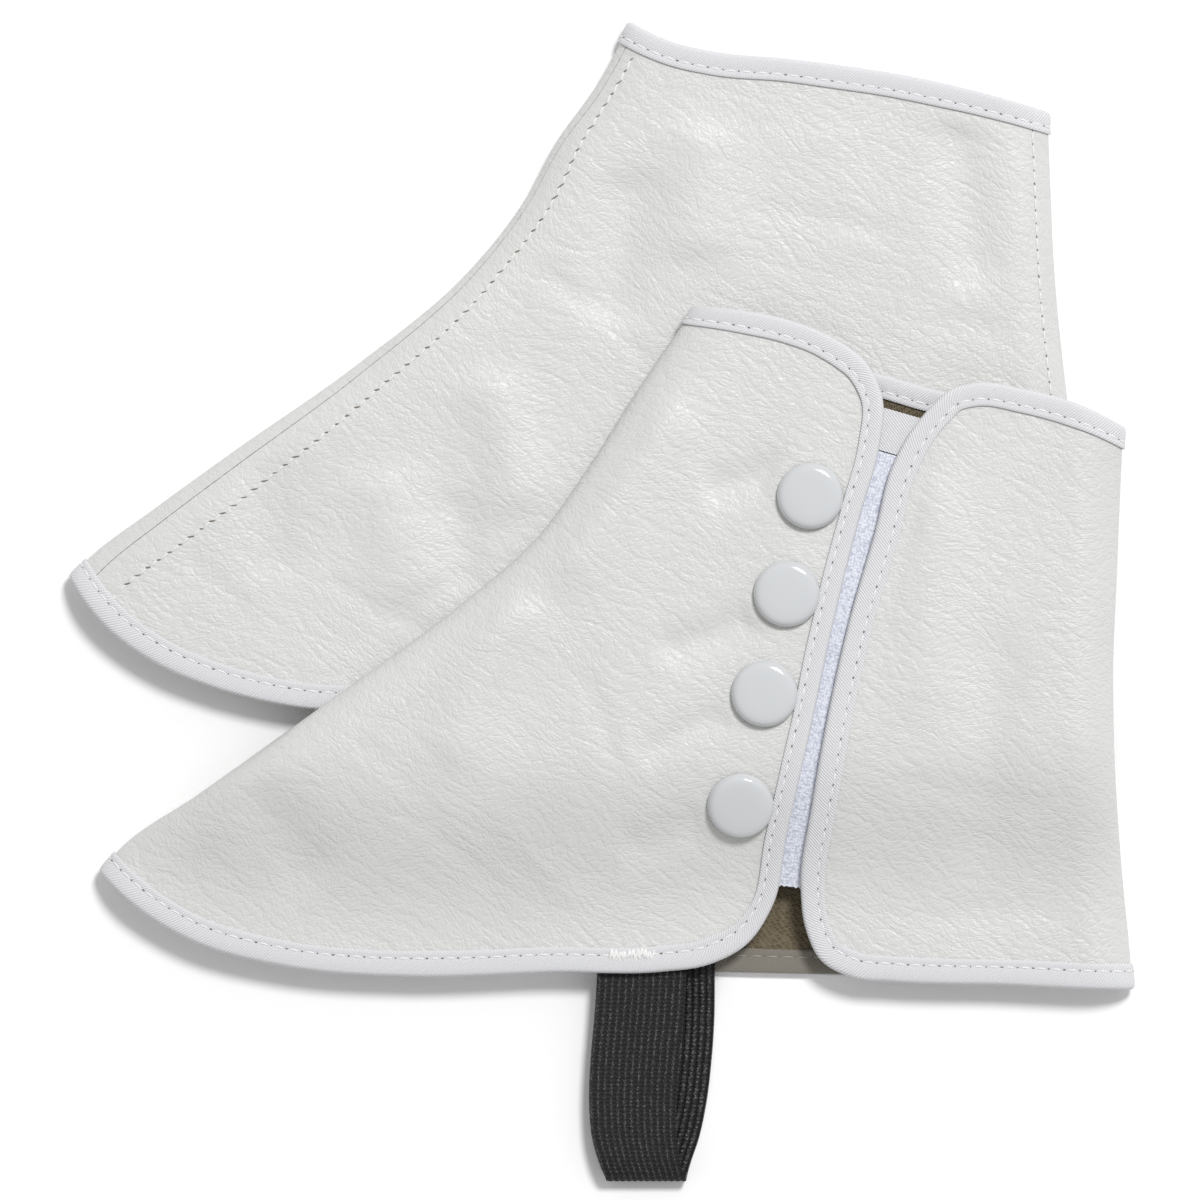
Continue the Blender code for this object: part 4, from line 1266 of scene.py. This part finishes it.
for seed, spat in enumerate((left, right), 5):
    rng = np.random.default_rng(seed)
    grid, facing = sewn_edges[spat.name]
    stitches, holes = [], []
    for row, side in ((STITCH_ROW, -1), (len(grid) - 1 - STITCH_ROW, 1)):
        path = grid[row] + facing * side * (BINDING / 2 + THREAD_RADIUS * 0.3)
        made = sewn_path(path, facing * side, STITCH_PITCH, rng)
        # The stitches along the inner panel's hem inside the opening take the thread painted with
        # shade.
        if side == spat.outer_side:
            hem = painted_hem_shade_span(spat, grid)
            near = slice(*[round(len(made[0]) * share) for share in hem])
            shaded_hem_stitches = made[0][near]
            del made[0][near]
        stitches += made[0]
        holes += made[1]
    distances = np.interp(SEAM_SHARES, *zip(*INSTEP_STITCHING))
    path, up = seam_path(spat.inner, SEAM_SHARES, distances, True)
    made = sewn_path(path, up, SEAM_PITCH, rng, slant=0.16, share=0.45, gash=2.6)
    stitches += made[0]
    holes += made[1]
    distances = np.full(len(SEAM_SHARES), HEEL_STITCH_INSET)
    path, up = seam_path(spat.inner, SEAM_SHARES, distances, False)
    made = sewn_path(path, up, SEAM_PITCH, rng, slant=-0.1)
    stitches += made[0]
    holes += made[1]
    stitches += strap_tack(spat, rng)
    if spat is left:
        stitches += loose_tacks(spat)
    sewing = thread_mesh(f"{spat.name}_stitching", holes, stitches, shaded_hem_stitches,
                         (hole_shade, thread, shaded_thread))
    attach(sewing, "root")


# The buttons. Four domed caps of white enamelled brass snap through the flap of each spat. Each is
# turned with a rolled rim, and is pressed on a short post.
RIM_LOW = 0.00035
RIM_HIGH = 0.00095
BUTTON_SIDES = 72
Inset = namedtuple("Inset", "inward outward")
DOME = (
    Inset(0.00016, 0.00065), Inset(0.00026, 0.00065), Inset(0.00036, 0.00050),
    Inset(0.00050, 0.00035), Inset(0.00100, 0.00025), Inset(0.00240, 0.00015),
    Inset(0.00260, 0.00005),
)
UNDERSIDE = (Inset(0.00020, 0.00012), Inset(0.00160, -0.00015), Inset(0.00030, 0.00085))


def on_outer_layer(spat, plan, depth):
    """A point so deep inside the spat's outer layer."""
    plan = np.asarray(plan, float)
    height = spat.front.height(plan) - spat.outer_side * depth
    return np.concatenate([plan, np.reshape(height, plan.shape[:-1] + (1,))], axis=-1)


def pick_faces(mesh, upward):
    """Selects the one end face that looks up or down."""
    bpy.context.tool_settings.mesh_select_mode = (False, False, True)
    for face in mesh.polygons:
        face.select = abs(face.normal.z - upward) < 0.01 and len(face.vertices) == BUTTON_SIDES


def make_enamel():
    """Glossy white enamel, a shade greyer than the cloth."""
    finish, tree, shader = new_finish(
        "white enamel", Roughness=0.13, Coat_Weight=0.6, Coat_Roughness=0.04
    )
    place = object_place(tree)
    tone = mixed_colour(tree, noise(tree, place, 90.0), (0.590, 0.605, 0.620), (0.615, 0.630, 0.645))
    tree.links.new(tone, shader.inputs["Base Color"])
    ripple = noise(tree, place, 260.0)
    tree.links.new(bumped(tree, ripple, 0.00002, 0.3), shader.inputs["Normal"])
    return finish


enamel = make_enamel()


def turned_button(spat, index, plan):
    """A cap turned from a short cylinder by insets, then set on the flap."""
    bpy.ops.object.select_all(action="DESELECT")
    bpy.ops.mesh.primitive_cylinder_add(
        vertices=BUTTON_SIDES, radius=BUTTON_RADIUS, depth=RIM_HIGH - RIM_LOW,
        location=(0, 0, (RIM_HIGH + RIM_LOW) / 2), end_fill_type="NGON",
    )
    piece = bpy.context.object
    piece.name = f"{spat.name}_button_{index}_cap"
    bpy.ops.object.transform_apply(location=True, rotation=False, scale=False)
    for upward, rings in ((1.0, DOME), (-1.0, UNDERSIDE)):
        pick_faces(piece.data, upward)
        bpy.ops.object.mode_set(mode="EDIT")
        for ring in rings:
            bpy.ops.mesh.inset(thickness=ring.inward, depth=ring.outward)
        bpy.ops.mesh.select_all(action="DESELECT")
        bpy.ops.object.mode_set(mode="OBJECT")
    bpy.ops.object.shade_smooth_by_angle(angle=math.radians(75))
    piece.data.materials.append(enamel)
    step = 0.001
    seat = on_outer_layer(spat, plan, -BUTTON_SEAT)
    centre = on_outer_layer(spat, plan, 0.0)
    east = unit(on_outer_layer(spat, plan + np.array((step, 0)), 0.0) - centre)
    north = on_outer_layer(spat, plan + np.array((0, step)), 0.0) - centre
    facing = unit(np.cross(east, north)) * spat.outer_side
    matrix = np.identity(4)
    matrix[:3, :3] = np.stack([east, np.cross(facing, east), facing], axis=1)
    matrix[:3, 3] = seat
    piece.data.transform(Matrix(matrix.tolist()))
    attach(piece, "root")
    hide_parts(f"{spat.name}_button_{index}")


for spat in (left, right):
    for index, plan in enumerate(spat.buttons, 1):
        turned_button(spat, index, plan)


# The closure tapes. Soft white knit tape lies inside each opening, under the flap and the heel
# quarter, cut across its loops at the ends, with a small twill tab above it.
TAPE = 0.0010
TAPE_WIDTH = 0.0200
TAPE_DEPTH = 0.0024
TAPE_LENGTH = 0.1300
TAPE_CELL = 0.0007
LOOP_PITCH = 0.0015
LOOP_RAGGED = 0.0009
RAGGED_FALL = 80
KNIT_ACROSS = 0.0016
KNIT_AHEAD = 0.0019
TAB_WIDTH = 0.0160
TAB_LENGTH = 0.0120
LEFT_TAPE = ((0.0539, -0.0824), (0.0590, -0.0500), (0.0649, -0.0197), (0.0730, 0.0120),
             (0.0815, 0.0426))


def make_knit():
    """Bright white knit: offset rows of small loops, painted darker and bluer between them as shade.
    """
    finish, tree, shader = new_finish(
        "white knit", Roughness=0.9, Sheen_Weight=0.2, Specular_IOR_Level=0.2
    )
    laid = cloth_place(tree)
    parts = add_node(tree, "ShaderNodeSeparateXYZ", wired={0: laid})
    drift = noise(tree, laid, 700.0)
    across = math_node(tree, "MULTIPLY_ADD", drift, 3.0,
                       math_node(tree, "MULTIPLY", parts.outputs[0], 2 * math.pi / KNIT_ACROSS))
    ahead = math_node(tree, "MULTIPLY_ADD", drift, 5.0,
                      math_node(tree, "MULTIPLY", parts.outputs[1], 2 * math.pi / KNIT_AHEAD))
    rise = math_node(tree, "SINE", math_node(tree, "ADD", across, ahead))
    fall = math_node(tree, "SINE", math_node(tree, "SUBTRACT", across, ahead))
    loops = math_node(tree, "MULTIPLY_ADD", math_node(tree, "MULTIPLY", rise, fall), 0.18, drift)
    loops = math_node(tree, "MULTIPLY_ADD", cells(tree, laid, 1300.0, 0.9), -1.1, loops)
    # Painted shade: the colour darkens where the loops' height is low.
    colour = mixed_colour(tree, ranged(tree, loops, -0.5, 0.3), (0.53, 0.56, 0.66), (0.82, 0.84, 0.90))
    tree.links.new(colour, shader.inputs["Base Color"])
    tree.links.new(bumped(tree, loops, 0.00022, 0.7), shader.inputs["Normal"])
    return finish


knit = make_knit()


def tape_grid(spat, line, width, length, cell, ragged):
    """Points of a straight-cut tape along a line, under the spat's outer layer."""
    middle = Line.through(line)
    steps = np.linspace(0, 1, round(length / cell) + 1)
    ahead = middle.direction(steps)
    across = np.stack([ahead[:, 1], -ahead[:, 0]], axis=1)
    grid = []
    for share in np.linspace(-0.5, 0.5, round(width / cell) + 1):
        loop = abs(math.sin(math.pi * share * width / LOOP_PITCH)) * ragged
        foot = np.clip(1 - steps * RAGGED_FALL, 0, 1)
        plans = middle.at(steps) + across * share * width + ahead * (foot * loop)[:, None]
        grid.append(on_outer_layer(spat, plans, TAPE_DEPTH))
    return np.array(grid)


def tab_line(line):
    """The straight line that the tab lies along, just past the tape's top end."""
    middle = Line.through(line)
    ahead = middle.direction(np.array(1.0))
    foot = middle.at(np.array(1.0)) + ahead * GAP
    return [tuple(foot + ahead * TAB_LENGTH * share) for share in (0.0, 0.5, 1.0)]


for spat, line in ((left, LEFT_TAPE), (right, turned(LEFT_TAPE))):
    for kind, path, width, length, ragged, finish, slot in (
        ("closure_tape", line, TAPE_WIDTH, TAPE_LENGTH, LOOP_RAGGED, knit, "knit"),
        ("tape_tab", tab_line(line), TAB_WIDTH, TAB_LENGTH, 0.0, twill, "twill"),
    ):
        grid = tape_grid(spat, path, width, length, TAPE_CELL, ragged)
        if spat.outer_side > 0:
            grid = grid[::-1]
        piece = laid_cloth(f"{spat.name}_{kind}_cloth", grid, TAPE, (finish,))
        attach(piece, "root")
        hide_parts(f"{spat.name}_{kind}")


# The straps. Black ribbed elastic runs under the boot, with both ends sewn inside the hem. The left
# one hangs out in a loop; the right one is tucked up inside its spat.
ELASTIC = 0.0012
ELASTIC_WIDTH = 0.0254
ELASTIC_COURSE = 0.0012
RIBS = 13
RIB_RISE = 0.00012
STRAP_COLUMNS = 52
# Rows along each strap: x of its left and right edge, y and z.
LEFT_STRAP = (
    (-0.0008, 0.0246, -0.0950, 0.0073),
    (-0.0012, 0.0242, -0.1060, 0.0073),
    (-0.0020, 0.0234, -0.1180, 0.0072),
    (-0.0032, 0.0220, -0.1320, 0.0069),
    (-0.0036, 0.0212, -0.1450, 0.0068),
    (-0.0026, 0.0214, -0.1550, 0.0068),
    (-0.0005, 0.0226, -0.1620, 0.0066),
    (0.0007, 0.0236, -0.1650, 0.0055),
    (0.0011, 0.0240, -0.1661, 0.0037),
    (0.0010, 0.0243, -0.1650, 0.0018),
    (0.0010, 0.0252, -0.1620, 0.0008),
    (0.0022, 0.0276, -0.1550, 0.0006),
    (0.0044, 0.0298, -0.1450, 0.0006),
    (0.0060, 0.0314, -0.1320, 0.0006),
    (0.0068, 0.0322, -0.1200, 0.0006),
    (0.0069, 0.0323, -0.1150, 0.0012),
    (0.0069, 0.0323, -0.1100, 0.0030),
    (0.0069, 0.0323, -0.1060, 0.0037),
    (0.0069, 0.0323, -0.0960, 0.0037),
)
RIGHT_STRAP = (
    (-0.0095, 0.0159, -0.0270, 0.0073),
    (-0.0150, 0.0104, -0.0140, 0.0074),
    (-0.0220, 0.0034, 0.0000, 0.0079),
    (-0.0320, -0.0066, 0.0200, 0.0079),
    (-0.0327, -0.0073, 0.0213, 0.0074),
    (-0.0330, -0.0076, 0.0219, 0.0062),
    (-0.0327, -0.0073, 0.0213, 0.0052),
    (-0.0320, -0.0066, 0.0200, 0.0048),
    (-0.0220, 0.0034, 0.0000, 0.0048),
    (-0.0150, 0.0104, -0.0140, 0.0050),
    (-0.0095, 0.0159, -0.0270, 0.0042),
)


def make_elastic():
    """Black knit elastic: raised ribs along it, crossed by slanting stitches, its colour painted
    lighter on the ribs and darker in the grooves as shade, with flecks of painted highlight.
    """
    finish, tree, shader = new_finish("black elastic", Roughness=0.7, Specular_IOR_Level=0.35)
    laid = cloth_place(tree)
    parts = add_node(tree, "ShaderNodeSeparateXYZ", wired={0: laid})
    drift = noise(tree, laid, 1200.0)
    across = math_node(tree, "MULTIPLY", parts.outputs[0], 2 * math.pi * RIBS / ELASTIC_WIDTH)
    rib = math_node(tree, "SINE", across)
    zigzag = math_node(tree, "MULTIPLY", math_node(tree, "ABSOLUTE", rib), 1.4)
    rows = math_node(tree, "MULTIPLY_ADD", parts.outputs[1], 2 * math.pi / ELASTIC_COURSE, zigzag)
    knitted = math_node(tree, "SINE", math_node(tree, "MULTIPLY_ADD", drift, 5.0, rows))
    height = math_node(tree, "MULTIPLY_ADD", knitted, 0.40, rib)
    # Painted highlight and shade: flecks of lighter colour stand in for glints, and the colour darkens
    # with the height of the knit.
    glint_cells = cells(tree, rotated(tree, laid, 0.5), 1500.0, 0.55)
    painted_glint = ranged(tree, glint_cells, 0.50, 0.14, 0.10, 1.0)
    lit = math_node(tree, "MULTIPLY", ranged(tree, height, -0.5, 0.9), painted_glint)
    colour = mixed_colour(tree, lit, (0.007, 0.007, 0.007), (0.165, 0.165, 0.165))
    tree.links.new(colour, shader.inputs["Base Color"])
    tree.links.new(bumped(tree, height, 0.00025, 0.8), shader.inputs["Normal"])
    return finish


elastic = make_elastic()
for spat, rows in ((left, LEFT_STRAP), (right, RIGHT_STRAP)):
    sections = Line.through(rows).samples
    facing = unit(np.gradient(sections[:, 2:], axis=0))
    grid = []
    for share in np.linspace(0, 1, STRAP_COLUMNS + 1):
        rib = RIB_RISE * math.sin(math.pi * RIBS * 2 * share)
        x = sections[:, 0] + (sections[:, 1] - sections[:, 0]) * share
        y = sections[:, 2] - facing[:, 1] * rib
        z = sections[:, 3] + facing[:, 0] * rib
        grid.append(np.stack([x, y, z], axis=1))
    grid = np.array(grid)
    strap = laid_cloth(f"{spat.name}_strap_elastic", grid, ELASTIC, (elastic,))
    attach(strap, "root")
    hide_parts(f"{spat.name}_strap")
